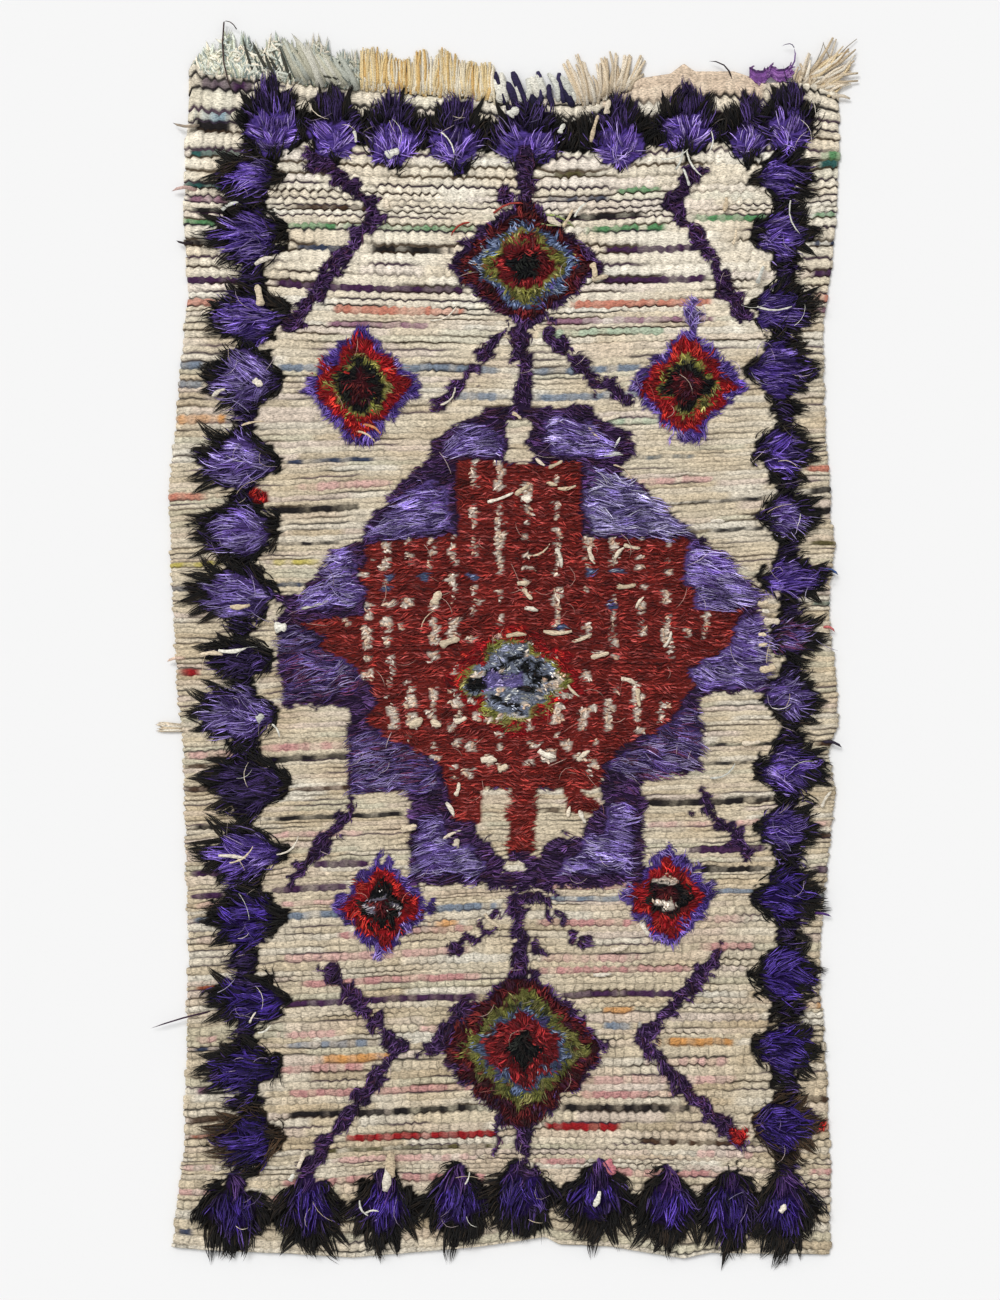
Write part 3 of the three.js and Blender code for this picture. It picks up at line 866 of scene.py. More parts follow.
# ---- The pile's pattern ----
# Each wool's shades, and its length and thickness as shares of the long pile's.
Wool = namedtuple("Wool", "colours length width")
WOOLS = {
    "black": Wool((0x100F0E, 0x181512, 0x1C1815, 0x0C0B0D, 0x2A2119), 1.15, 1.05),
    "brown": Wool((0x3E2E20, 0x4A3828, 0x2A2016, 0x5C4632), 1.1, 1.0),
    "violet": Wool((0x8C78BE, 0xA08ECC, 0x6A529C, 0xB4A6D8, 0x4E3876, 0x927EC4), 0.9, 0.85),
    "iris": Wool((0x9A86CC, 0xAE9CD8, 0x765EA8, 0xC0B4E0, 0x563E7E, 0xA08CD0), 0.9, 0.85),
    "lilac": Wool((0xA89CCE, 0xBCB2DC, 0x8474B2, 0xD4CEE8, 0x66548E, 0xB0A6D4), 0.9, 0.85),
    "dusk": Wool((0x7A66A6, 0x8E7CB6, 0x5A4484, 0xA496C2, 0x44305A, 0x6C3A5C), 0.9, 0.85),
    "royal": Wool((0x7256B2, 0x886EC4, 0x523A90, 0xA48ED2, 0x402C68, 0x785EB8), 0.9, 0.85),
    "bloom": Wool((0x9070CC, 0xA48AD8, 0x6A50B0, 0xBCA8E2, 0x563A8A, 0x987CD2), 0.58, 0.95),
    "deep": Wool((0x402886, 0x4E3498, 0x2C185A, 0x644CAC, 0x1C1034), 0.85, 0.9),
    "indigo": Wool((0x3C2A5A, 0x4A3670, 0x2A1C40, 0x5C4886, 0x1C1226), 0.95, 0.95),
    "purple": Wool((0x4C2C6E, 0x5E3A80, 0x361F54, 0x745094), 1.1, 0.95),
    "ink": Wool((0x4E2E60, 0x5C3A70, 0x352244, 0x6C4C84, 0x44243C), 0.42, 1.0),
    "maroon": Wool((0x98322C, 0xA23C36, 0x862A24, 0xA84C48, 0x6A1E1C), 0.42, 1.4),
    "wine": Wool((0x5A181E, 0x6E2224, 0x44121A, 0x7A2A28, 0x3A181C, 0x481C32), 0.36, 1.15),
    "red": Wool((0xB41E24, 0xC4302A, 0x98181E, 0xCE3C30, 0x6C1216, 0xAA2026), 0.36, 1.15),
    "crimson": Wool((0x96242A, 0xA82E30, 0x761A20, 0x56141A, 0x88282E, 0xB23A38), 0.36, 1.15),
    "olive": Wool((0x8A8A40, 0x787A36, 0xA09C52, 0x585A2A, 0x845432, 0xAEA868), 0.34, 1.15),
    "moss": Wool((0x767638, 0x686A32, 0x888648, 0x4C5026, 0x6E402C, 0x948E58), 0.34, 1.15),
    "smoke": Wool((0x62708E, 0x7884A0, 0x4A5878, 0x949EB0, 0x564C82, 0x5E6C8A), 0.34, 1.15),
    "slate": Wool((0x7284AA, 0x8E9CBC, 0x56668E, 0xACB6C8, 0x64589A, 0x6E7E9E), 0.34, 1.15),
    "ash": Wool((0xA8A0AE, 0xC4BCC0, 0x8A8494, 0xD8D0CC), 0.3, 1.3),
    "mist": Wool((0xA2A8B6, 0xB8BEC4, 0x8890A4, 0xD4D4CE, 0x5A6070, 0xA0A4BC), 0.19, 1.4),
    "orchid": Wool((0x8E80BE, 0xA898CC, 0x7468A6, 0x9A8CC8, 0xB0A4D0), 0.22, 1.3),
    "night": Wool((0x151715, 0x20221E, 0x0F1014, 0x241A18), 0.34, 1.15),
    "cream": Wool((0xF2DECA, 0xE8CCB2, 0xF8EADA, 0xDCB89E), 0.2, 2.2),
}

Patch = namedtuple("Patch", "group wool comb shape")
LEFTWARD, RIGHTWARD, UPWARD, DOWNWARD = math.pi, 0.0, math.pi / 2, -math.pi / 2


def fan(centre, half, heading, bias):
    """Strands that head one way and part round a centre. A low bias turns them back past its far side."""
    ahead = (bias * math.cos(heading), bias * math.sin(heading))
    return lambda x, y: np.arctan2((y - centre[1]) / half[1] + ahead[1], (x - centre[0]) / half[0] + ahead[0])


def outward(centre, drop):
    """Strands that head away from a centre, and a little towards the foot."""
    return lambda x, y: np.arctan2((y - centre[1]) * 0.85 - drop, x - centre[0])


def steady(heading):
    """Strands that all head one way."""
    return lambda x, y: np.full(np.shape(x), float(heading))


def sideways(slope):
    """Strands that head for the nearer side edge, with a slope towards the foot."""
    return lambda x, y: np.where(x < 20, LEFTWARD + slope, RIGHTWARD - slope)


# A shape's inside() tells whether points lie in it. Its low and high are the corners of a box round it.
Shape = namedtuple("Shape", "low high inside")


def lozenge(centre, half, power=1.25):
    """A lozenge with these half sizes. It is straight-sided at power 1 and an ellipse at 2."""

    def inside(x, y):
        return np.abs((x - centre[0]) / half[0]) ** power + np.abs((y - centre[1]) / half[1]) ** power < 1

    return Shape(np.subtract(centre, half), np.add(centre, half), inside)


def polygon(*corners):
    """The inside of a closed line through these corners."""

    def inside(x, y):
        found = np.zeros(np.shape(x), bool)
        for (ax, ay), (bx, by) in zip(corners, corners[1:] + corners[:1]):
            reach = ax + (y - ay) * (bx - ax) / (by - ay if by != ay else 1e-9)
            found ^= ((ay > y) != (by > y)) & (x < reach)
        return found

    return Shape(np.min(corners, 0), np.max(corners, 0), inside)


def line(width, *corners):
    """A band of this width along an open line."""

    def inside(x, y):
        found = np.zeros(np.shape(x), bool)
        for (ax, ay), (bx, by) in zip(corners, corners[1:]):
            across, up = bx - ax, by - ay
            along = np.clip(((x - ax) * across + (y - ay) * up) / (across**2 + up**2), 0, 1)
            found |= np.hypot(x - ax - along * across, y - ay - along * up) < width / 2
        return found

    return Shape(np.min(corners, 0) - width / 2, np.max(corners, 0) + width / 2, inside)


# The border's violet hearts, with their half sizes.
Motif = namedtuple("Motif", "x y across along wool")
LEFT_BORDER = table(
    Motif,
    (-452, 846, 44, 38, "royal"), (-450, 746, 58, 50, "royal"), (-450, 602, 60, 46, "royal"),
    (-456, 494, 58, 50, "violet"), (-470, 348, 62, 50, "violet"), (-466, 226, 62, 50, "violet"),
    (-472, 116, 66, 44, "violet"), (-466, 4, 48, 34, "indigo"), (-470, -96, 62, 48, "violet"),
    (-452, -214, 66, 48, "indigo"), (-458, -340, 64, 44, "royal"), (-454, -452, 56, 50, "deep"),
    (-450, -596, 60, 42, "deep"), (-458, -716, 56, 42, "deep"), (-450, -838, 50, 46, "deep"),
)
RIGHT_BORDER = table(
    Motif,
    (488, 850, 44, 42, "royal"), (488, 748, 46, 46, "royal"), (486, 616, 48, 44, "royal"),
    (484, 514, 50, 52, "royal"), (486, 366, 44, 40, "royal"), (494, 254, 44, 38, "violet"),
    (504, 146, 56, 34, "royal"), (502, 42, 32, 38, "dusk"), (500, -62, 44, 46, "violet"),
    (500, -186, 58, 42, "royal"), (492, -294, 46, 44, "royal"), (492, -408, 50, 48, "deep"),
    (492, -548, 50, 50, "deep"), (492, -674, 50, 50, "deep"), (492, -812, 50, 50, "deep"),
)
HEAD_BORDER = table(
    Motif,
    (-408, 944, 52, 56, "bloom"), (-301, 930, 44, 46, "bloom"), (-196, 920, 50, 42, "bloom"),
    (-86, 914, 48, 44, "bloom"), (38, 914, 60, 44, "bloom"), (200, 916, 50, 44, "bloom"),
    (318, 938, 50, 42, "bloom"), (424, 920, 32, 40, "bloom"), (496, 942, 42, 46, "bloom"),
)
FOOT_BORDER = table(
    Motif,
    (-476, -962, 46, 46, "deep"), (-341, -958, 44, 46, "deep"), (-211, -952, 44, 48, "deep"),
    (-80, -944, 46, 50, "deep"), (30, -934, 46, 46, "deep"), (160, -938, 48, 44, "deep"),
    (285, -952, 44, 46, "deep"), (396, -954, 42, 52, "deep"), (488, -958, 42, 48, "deep"),
)
# The black wool round the hearts of each side: how far it stands out of them across and along, how far it is
# moved up, how firmly it heads outwards, and the number, reach and width of its loose tufts.
Surround = namedtuple("Surround", "across along shift bias tufts reach wide")
SURROUND = {
    "left": Surround(18, 14, 4, 1.2, 5, 62, 20),
    "right": Surround(12, 12, 0, 1.2, 6, 48, 20),
    "head": Surround(12, 24, 6, 1.2, 6, 52, 14),
    "foot": Surround(27, 28, -6, 0.9, 5, 60, 26),
}
# These bands of black and of indigo wool link one heart to the next.
LEFT_SPINE = ((-430, 950), (-448, 600), (-462, 200), (-456, -300), (-450, -880))
HEAD_SPINE = ((-411, 938), (-300, 936), (-86, 922), (40, 916), (210, 924), (490, 938))
BANDS = (
    ("pile_left", "black", LEFTWARD, line(46, *LEFT_SPINE)),
    ("pile_right", "black", RIGHTWARD, line(44, (494, 930), (488, 500), (500, 0), (494, -500), (492, -900))),
    ("pile_ends", "black", UPWARD, line(62, *HEAD_SPINE)),
    ("pile_left", "indigo", LEFTWARD, line(34, *LEFT_SPINE)),
    ("pile_right", "indigo", RIGHTWARD, line(26, (490, 930), (486, 500), (500, 0), (494, -500), (492, -900))),
)
OVERHANG = 7.0  # how far the strands' tips lie over the edge of their own colour
BORDERS = (
    ("pile_left", "left", LEFT_BORDER, LEFTWARD),
    ("pile_right", "right", RIGHT_BORDER, RIGHTWARD),
    ("pile_ends", "head", HEAD_BORDER, UPWARD),
    ("pile_ends", "foot", FOOT_BORDER, DOWNWARD),
)
BROWN_BELOW = -780  # the last hearts at the sides stand in brown wool


def surround_of(motif, side, heading):
    """The centre of a heart, the centre and the half sizes of the black wool round it, and that wool."""
    surround = SURROUND[side]
    back = OVERHANG * 0.5
    centre = (motif.x - back * math.cos(heading), motif.y - back * math.sin(heading))
    around = (centre[0], centre[1] + surround.shift)
    half = (motif.across + surround.across, motif.along + surround.along)
    wool = "brown" if side in ("left", "right") and motif.y < BROWN_BELOW else "black"
    return centre, around, half, wool


def border_patches():
    """Violet hearts in black wool down both sides and across both ends, all combed outwards."""
    patches = [Patch(group, wool, steady(heading), shape) for group, wool, heading, shape in BANDS]
    hearts = []
    for group, side, motifs, heading in BORDERS:
        for motif in motifs:
            centre, around, round_it, wool = surround_of(motif, side, heading)
            comb = fan(around, round_it, heading, SURROUND[side].bias)
            patches.append(Patch(group, wool, comb, lozenge(around, round_it, 1.15)))
            half = (motif.across, motif.along)
            comb = fan(centre, half, heading, 0.7 if side == "head" else 1.8)
            core = (centre[0], centre[1] - (8 if heading == UPWARD else 0))
            bright = np.multiply(half, (0.72, 0.8) if heading == DOWNWARD else (0.9, 0.86))
            shapes = [("indigo", lozenge(centre, half, 1.35)), (motif.wool, lozenge(core, bright, 1.5))]
            if heading == UPWARD:
                crown = lozenge((motif.x, motif.y + 44), (motif.across * 0.75, 32), 1.3)
                shapes.append(("indigo", crown))
            if heading == DOWNWARD:
                collar = lozenge((motif.x + 2, motif.y + 46), (20, 26), 1.2)
                shapes.append(("purple", collar))
            hearts += [Patch(group, colour, comb, shape) for colour, shape in shapes]
    return patches + hearts


# The rings of the rosettes and lozenges, from the outside in: a share of the eye's half sizes, and a wool.
HEAD_RINGS = ((1, "ink"), (0.88, "wine"), (0.7, "slate"), (0.58, "olive"), (0.44, "crimson"), (0.23, "night"))
FOOT_RINGS = ((1, "ink"), (0.93, "wine"), (0.72, "moss"), (0.56, "smoke"), (0.47, "crimson"), (0.24, "night"))
UPPER_RINGS = ((1.05, "royal"), (0.86, "red"), (0.6, "olive"), (0.5, "night"), (0.3, "wine"))
LOWER_RINGS = ((1.05, "royal"), (0.8, "red"), (0.5, "night"), (0.28, "wine"))
EYES = table(
    namedtuple("Eye", "x y across along rings"),
    (35, 695, 138, 116, HEAD_RINGS), (31, -678, 150, 146, FOOT_RINGS),
    (-252, 482, 100, 104, UPPER_RINGS), (320, 482, 98, 98, UPPER_RINGS),
    (-216, -428, 84, 88, LOWER_RINGS), (286, -410, 82, 88, LOWER_RINGS),
)
ROSETTE = 120  # an eye with a larger half width than this is a rosette, and a little fuller
# Specks of another wool that lie in the two lower lozenges, and in the medallion's eye.
Speck = namedtuple("Speck", "x y across along wool")
LOZENGE_SPECKS = table(
    Speck,
    (-221, -410, 13, 7, "ash"), (-236, -430, 8, 8, "ash"), (-194, -427, 9, 7, "ash"),
    (283, -381, 16, 10, "cream"), (283, -421, 13, 9, "cream"),
)
MEDALLION_SPECKS = table(
    Speck,
    (11, 8, 22, 10, "night"), (-12, -14, 18, 10, "night"), (40, -13, 20, 9, "night"),
    (66, -29, 18, 8, "night"), (-48, -36, 21, 9, "night"), (0, -35, 34, 13, "orchid"),
    (-11, -60, 15, 9, "night"), (39, -49, 17, 10, "night"), (13, -77, 20, 8, "night"),
    (88, -35, 20, 11, "cream"), (104, -57, 11, 7, "cream"), (17, -94, 17, 6, "cream"),
    (62, -56, 10, 7, "cream"), (16, 56, 21, 12, "red"), (13, -121, 21, 8, "red"),
    (110, -36, 13, 8, "olive"), (92, 12, 36, 11, "red"), (-54, 6, 22, 10, "red"), (-54, -76, 22, 10, "red"),
    (72, -84, 13, 9, "red"), (122, -50, 11, 7, "red"),
)


def speck_patches(specks):
    """Small ellipses of another wool."""
    comb = sideways(0.3)
    return [Patch("pile_eyes", s.wool, comb, lozenge((s.x, s.y), (s.across, s.along), 2)) for s in specks]


def eye_patches():
    """The two rosettes and the four small lozenges, ring inside ring."""
    patches = []
    for eye in EYES:
        comb = outward((eye.x, eye.y), 0.12 * eye.along)
        power = 1.15 if eye.across > ROSETTE else 1.07
        for share, wool in eye.rings:
            shape = lozenge((eye.x, eye.y), (eye.across * share, eye.along * share), power)
            patches.append(Patch("pile_eyes", wool, comb, shape))
    return patches + speck_patches(LOZENGE_SPECKS)


# The stepped medallion: its inky outline, the gaps in it where the rows show, its violet fields and their
# wools, and its worn maroon cross.
INKY = polygon(
    (-75, 421), (-25, 444), (24, 450), (95, 448), (150, 449), (155, 432), (222, 400), (224, 372),
    (207, 333), (250, 300), (292, 262), (328, 228), (362, 202), (396, 180), (412, 150), (452, 120),
    (440, 100), (455, 60), (462, 0), (458, -52), (342, -60), (342, -190), (241, -206), (241, -387),
    (-168, -391), (-168, -225), (-270, -250), (-270, -78), (-386, -80), (-396, 40), (-394, 112),
    (-359, 124), (-327, 150), (-312, 178), (-300, 198), (-249, 215), (-249, 235), (-208, 282), (-188, 311),
    (-150, 342), (-128, 368), (-124, 388),
)
CREAM_GAPS = (
    polygon((4, 424), (43, 424), (43, 352), (4, 352)),
    polygon((-51, -222), (10, -222), (8, -345), (-5, -340), (-54, -284)),
    polygon(
        (50, -222), (108, -218), (168, -200), (172, -238), (132, -300), (85, -302), (60, -340), (46, -340),
    ),
    polygon((-5, -351), (40, -351), (40, -366), (-5, -366)),
    polygon((-262, -230), (-170, -228), (-172, -262), (-262, -262)),
    polygon((241, -212), (300, -206), (341, -192), (341, -260), (241, -260)),
)
VIOLETS = (
    ("iris", (-60, 420), (-8, 404), (-5, 362), (-105, 362), (-100, 385), (-75, 405)),
    ("iris", (70, 425), (145, 422), (160, 400), (192, 374), (188, 362), (75, 362), (68, 385)),
    ("iris", (-133, 322), (-103, 306), (-92, 240), (-110, 228), (-240, 217), (-225, 240), (-185, 280)),
    (
        "lilac", (152, 336), (208, 322), (242, 300), (285, 268), (318, 232), (272, 222), (150, 226),
        (140, 275),
    ),
    (
        "iris", (-269, 203), (-255, 160), (-246, 122), (-260, 99), (-368, 96), (-353, 117), (-310, 145),
        (-310, 177), (-295, 197),
    ),
    (
        "iris", (322, 213), (360, 200), (394, 177), (408, 150), (448, 118), (425, 96), (330, 92),
        (335, 120), (308, 138),
    ),
    (
        "dusk", (-390, 58), (-325, 52), (-315, 25), (-272, 5), (-248, -20), (-255, -52), (-385, -64),
        (-365, -20), (-385, 10), (-396, 38),
    ),
    ("iris", (446, 92), (398, 66), (390, 25), (365, 12), (325, -15), (328, -46), (455, -48), (460, 0)),
    (
        "dusk", (-270, -125), (-215, -120), (-150, -158), (-120, -180), (-110, -212), (-125, -226),
        (-200, -222), (-262, -232),
    ),
    (
        "dusk", (306, -86), (338, -92), (338, -170), (300, -198), (265, -195), (180, -186), (190, -170),
        (240, -140), (283, -108),
    ),
    (
        "iris", (-146, -272), (-108, -276), (-95, -322), (-69, -322), (-34, -354), (-43, -374),
        (-165, -371), (-150, -333),
    ),
    (
        "iris", (180, -243), (222, -248), (222, -370), (85, -370), (100, -350), (135, -335), (135, -305),
        (176, -300),
    ),
)
MAROON = (
    polygon(
        (-84, 350), (131, 350), (133, 218), (320, 214), (308, 138), (335, 120), (325, 94), (397, 88),
        (438, 106), (397, 66), (388, 26), (364, 13), (322, -12), (327, -44), (303, -82), (266, -122),
        (208, -138), (191, -168), (166, -184), (166, -222), (110, -222), (54, -218), (52, -332), (2, -332),
        (10, -220), (-40, -220), (-44, -284), (-84, -276), (-102, -222), (-110, -186), (-133, -164),
        (-164, -152), (-204, -134), (-236, -108), (-224, -60), (-249, -22), (-280, 4), (-324, 22),
        (-312, 50), (-364, 68), (-240, 86), (-243, 122), (-251, 154), (-240, 208), (-80, 224),
    ),
    polygon((104, -222), (130, -222), (166, -250), (160, -262), (110, -262)),
)
MEDALLION_EYE = (15, -34)
EYE_RINGS = (("red", 124, 100), ("maroon", 84, 104), ("olive", 98, 80), ("mist", 86, 66))


def medallion_patches():
    """The medallion's parts, from the lowest to the topmost."""
    combed, worn = sideways(0.16), sideways(0.05)
    patches = [Patch("pile_medallion", "ink", combed, INKY)]
    patches += [Patch("pile_medallion", wool, combed, polygon(*corners)) for wool, *corners in VIOLETS]
    patches += [Patch("pile_medallion", None, combed, shape) for shape in CREAM_GAPS]
    patches += [Patch("pile_maroon", "maroon", worn, shape) for shape in MAROON]
    for wool, across, along in EYE_RINGS:
        patches.append(Patch("pile_eyes", wool, combed, lozenge(MEDALLION_EYE, (across, along), 1.22)))
    return patches + speck_patches(MEDALLION_SPECKS)


# The worn places in the maroon, where the cream knots show: x, from y down to y, and their width.
Fleck = namedtuple("Fleck", "x top foot width")
FLECKS = table(
    Fleck,
    (-279, 80, 66, 8), (-240, 88, 74, 8), (-240, 60, 26, 16), (-240, 10, 0, 8), (-208, 212, 190, 8),
    (-208, 182, 172, 7), (-206, 112, 96, 10), (-206, 80, 52, 12), (-199, 12, -44, 8), (-196, -78, -120, 14),
    (-170, 216, 206, 8), (-170, 188, 172, 8), (-170, 116, 96, 10), (-162, -46, -80, 12),
    (-160, -92, -118, 18), (-130, 220, 198, 10), (-130, 182, 164, 8), (-124, 84, 36, 12),
    (-124, 14, -2, 12), (-124, -48, -80, 12), (-122, -100, -116, 12), (-122, -140, -154, 12),
    (-89, 192, 164, 13), (-89, 152, 122, 10), (-89, 116, 98, 9), (-89, 72, 50, 10), (-83, -8, -24, 9),
    (-83, -58, -80, 10), (-80, -86, -108, 12), (-54, 350, 306, 11), (-54, 272, 236, 8), (-54, 220, 198, 9),
    (-54, 192, 182, 9), (-54, 132, 116, 8), (-54, 94, 80, 8), (-63, -140, -152, 14), (-66, -186, -200, 10),
    (-28, -94, -104, 26), (-28, -164, -180, 22), (-9, 352, 300, 15), (-9, 278, 254, 11), (-9, 240, 196, 14),
    (-9, 193, 156, 13), (-9, 128, 104, 14), (-2, -176, -190, 14), (38, 314, 286, 18), (38, 276, 258, 12),
    (38, 250, 240, 9), (91, 262, 244, 9), (91, 238, 198, 14), (91, 190, 146, 12), (91, 134, 112, 10),
    (91, 104, 66, 11), (88, -28, -46, 24), (91, -80, -110, 17), (144, 220, 194, 16), (144, 188, 146, 14),
    (144, 136, 120, 9), (144, 68, 42, 12), (138, -78, -120, 15), (132, -158, -172, 20),
    (110, -138, -150, 13), (76, -154, -172, 26), (191, 220, 200, 12), (191, 196, 166, 14),
    (191, 116, 22, 12), (179, -60, -120, 9), (166, 20, 4, 26), (160, -134, -146, 9), (154, -170, -184, 16),
    (229, -36, -100, 14), (238, 220, 208, 7), (238, 186, 178, 9), (238, 104, 86, 9), (238, 72, 42, 11),
    (282, 212, 204, 7), (282, 184, 170, 8), (282, 124, 98, 16), (282, 84, 26, 11), (316, 60, 44, 8),
    (351, 88, 42, 7), (91, -94, -112, 14), (50, -138, -148, 22), (1, -178, -190, 16),
)
BLUE_SPECKS = ((-203, 149), (-140, 150), (-56, 150), (148, 157), (197, 157), (187, 98), (-206, 130), (96, 60))
FLECK_COLUMNS = (-240, -206, -170, -124, -89, -54, -9, 38, 91, 144, 191, 238, 282)
FLECK_CHANCE = 0.42


def small_flecks(shapes):
    """Single knots that show here and there along the same columns, wherever these shapes reach."""
    draw = chance(83)
    flecks = []
    for x in FLECK_COLUMNS:
        for y in np.arange(-200, 345, 21):
            at = (x + draw.normal(0, 4), y + draw.normal(0, 6))
            shown = draw.uniform() < FLECK_CHANCE
            if shown and any(shape.inside(*np.array(at)[:, None]).all() for shape in shapes):
                flecks.append(Fleck(at[0], at[1] + draw.uniform(4, 9), at[1] - 4, draw.uniform(8, 20)))
    return flecks


def fleck_patches():
    """The cream knots in the maroon, and a few blue ones."""
    comb = sideways(0.0)
    patches = []
    for x, top, foot, width in FLECKS + small_flecks(MAROON):
        left, right = x - width * 0.38, x + width * 0.38
        block = polygon((left, top), (right, top), (right, foot), (left, foot))
        patches.append(Patch("pile_flecks", "cream", comb, block))
    return patches + [Patch("pile_maroon", "slate", comb, lozenge(at, (12, 5), 2)) for at in BLUE_SPECKS]


# The inky zigzags and stems between the motifs, and the scattered knots round the lower stem.
INKY_LINES = (
    line(28, (-345, 885), (-300, 855), (-232, 800), (-225, 782), (-290, 705), (-372, 588)),
    line(28, (335, 860), (290, 800), (345, 735), (412, 612)), line(30, (38, 885), (38, 800)),
    line(18, (0, 830), (0, 810)), line(29, (24, 600), (36, 500), (26, 425)), line(18, (0, 580), (-40, 534)),
    line(22, (-56, 512), (-88, 478), (-120, 445)), line(22, (75, 575), (100, 552)),
    line(22, (112, 542), (134, 514), (158, 494)), line(20, (186, 480), (212, 460)),
    line(16, (150, 480), (190, 486)), line(23, (-262, -245), (-296, -292), (-330, -332), (-372, -378)),
    line(20, (318, -205), (347, -240), (369, -277), (404, -299), (430, -340)),
    line(14, (325, -255), (350, -240)), line(12, (380, -320), (410, -318)),
    line(24, (20, -413), (26, -500), (30, -560)), line(30, (-70, -600), (-112, -662)),
    line(18, (20, -410), (76, -412), (78, -440)), line(20, (98, -449), (99, -451)),
    line(16, (118, -470), (116, -488)), line(16, (136, -490), (150, -492)),
    line(12, (-39, -452), (-42, -470), (-24, -474)), line(20, (-58, -482), (-90, -504)),
    line(18, (-96, -672), (-140, -684)), line(11, (-20, -440), (-10, -446)),
    line(12, (52, -492), (70, -512)), line(25, (-310, -536), (-188, -676)),
    line(25, (-200, -690), (-226, -730), (-352, -892)), line(25, (376, -508), (334, -560), (243, -654)),
    line(25, (240, -664), (300, -730), (412, -840)), line(28, (34, -820), (36, -895)),
    line(14, (-14, -800), (-16, -850)), line(11, (175, -390), (-20, -394)),
)
OTHER_LINES = (
    ("violet", line(24, (326, 580), (330, 628))), ("red", lozenge((406, -830), (12, 12), 2)),
    ("red", lozenge((556, -810), (8, 8), 2)), ("red", lozenge((-430, 288), (13, 12), 2)),
)


def line_patches():
    """The lines, all but a few of inky wool."""
    patches = [Patch("pile_lines", "ink", sideways(0.6), shape) for shape in INKY_LINES]
    return patches + [Patch("pile_lines", wool, steady(UPWARD), shape) for wool, shape in OTHER_LINES]


PATTERN = border_patches() + line_patches() + eye_patches() + medallion_patches() + fleck_patches()
GROUPS = np.array([patch.group for patch in PATTERN])
BARE = -1
CELL = 2.5  # the pattern is drawn once, on cells of this size
MAP_LOW = np.array([-640.0, -1110.0])
MAP_CELLS = (520, 880)
# How far the outlines of each part stray.
WOBBLE = {
    "pile_left": 10.0, "pile_right": 9.0, "pile_ends": 7.5, "pile_medallion": 5.5, "pile_eyes": 8.0,
    "pile_lines": 8.5, "pile_flecks": 5.0, "pile_maroon": 4.0,
}


def draw_pattern():
    """The number of the patch in each cell, where later patches lie over earlier ones."""
    x = MAP_LOW[0] + CELL * (np.arange(MAP_CELLS[0]) + 0.5)[:, None]
    y = MAP_LOW[1] + CELL * (np.arange(MAP_CELLS[1]) + 0.5)[None, :]
    stray_x = wander(x, y, 38, 41) + 0.5 * wander(x, y, 17, 43)
    stray_y = wander(x, y, 34, 42) + 0.5 * wander(x, y, 15, 44)
    found = np.full(MAP_CELLS, BARE)
    for number, patch in enumerate(PATTERN):
        stray = WOBBLE[patch.group]
        low = np.floor((patch.shape.low - 2 * stray - MAP_LOW) / CELL).astype(int).clip(0)
        high = np.ceil((patch.shape.high + 2 * stray - MAP_LOW) / CELL).astype(int)
        window = (slice(low[0], high[0]), slice(low[1], high[1]))
        at_x = x[window[0]] + stray * stray_x[window]
        at_y = y[:, window[1]] + stray * stray_y[window]
        found[window][patch.shape.inside(at_x, at_y)] = number if patch.wool else BARE
    return found


PATTERN_MAP = draw_pattern()


def read_pattern(points):
    """The number of the patch at each point, or BARE on the rows."""
    cell = np.floor((points - MAP_LOW) / CELL).astype(int)
    return PATTERN_MAP[cell[..., 0].clip(0, MAP_CELLS[0] - 1), cell[..., 1].clip(0, MAP_CELLS[1] - 1)]


# ---- The pile ----
# How each part of the pile is knotted and combed: the grid's two spacings in millimetres, a factor on the
# strands' length, how far back a strand's root lies, how many strands cling to one lock and how firmly, how
# much the headings stray, how far a lock strays from the place that its colour belongs to, how much one lock
# is lighter than the next, and how many of a lock's strands share its dye.
Comb = namedtuple("Comb", "across along length slant lock cling stray bleed shade mottle")
COMBS = {
    "pile_left": Comb(5.5, 5.5, 1.0, 0.55, 14, 0.7, 0.32, 6, 0.32, 0.3),
    "pile_right": Comb(5.5, 5.5, 0.82, 0.55, 14, 0.7, 0.32, 6, 0.32, 0.3),
    "pile_ends": Comb(6.3, 6.3, 1.0, 0.55, 14, 0.7, 0.28, 5, 0.32, 0.3),
    "pile_medallion": Comb(5.2, 5.2, 1.0, 0.5, 9, 0.6, 0.26, 3, 0.32, 0.4),
    "pile_maroon": Comb(4.8, 7.6, 1.0, 0.5, 5, 0.3, 0.34, 0, 0.26, 0.5),
    "pile_eyes": Comb(4.7, 4.7, 1.0, 0.5, 7, 0.5, 0.55, 5, 0.30, 0.85),
    "pile_lines": Comb(4.6, 4.6, 1.0, 0.5, 6, 0.5, 0.9, 0, 0.30, 0.3),
    "pile_flecks": Comb(6.2, 6.2, 1.0, 0.4, 1, 0.0, 0.8, 0, 0.10, 0.0),
}
GRID_FROM, GRID_TO = (-620, -1080), (620, 1060)
ROOTS_AT_ONCE = 2000  # locks are sought for this many roots at a time, to keep the arrays small
LOCK_REACH = 26.0  # a strand clings to its lock only from this near
EYE_STRAND = 0.5  # no strand in the eyes is longer than this share of the border's
ROW_SHADE, ROW_SHADE_PITCH = 0.28, 27.0  # painted shade: darker and lighter bands along the maroon's rows
GROUND_Z = 9.0  # the height of the rows' crests under the wool
FLOOR_Z = 2.5  # no strand's tip sinks lower than this, outside the rim
FULL_LENGTH = 42.0  # strands of this length or more stand at the pile's full height
FLATNESS = 0.8  # how high a strand is against its width
TUFT_STRANDS = 16
HAIR_TRIES = 360  # this many hairs are drawn, and those that fall on the wool are kept
HAIR_TINT = np.array(linear(0xF0DCC8))


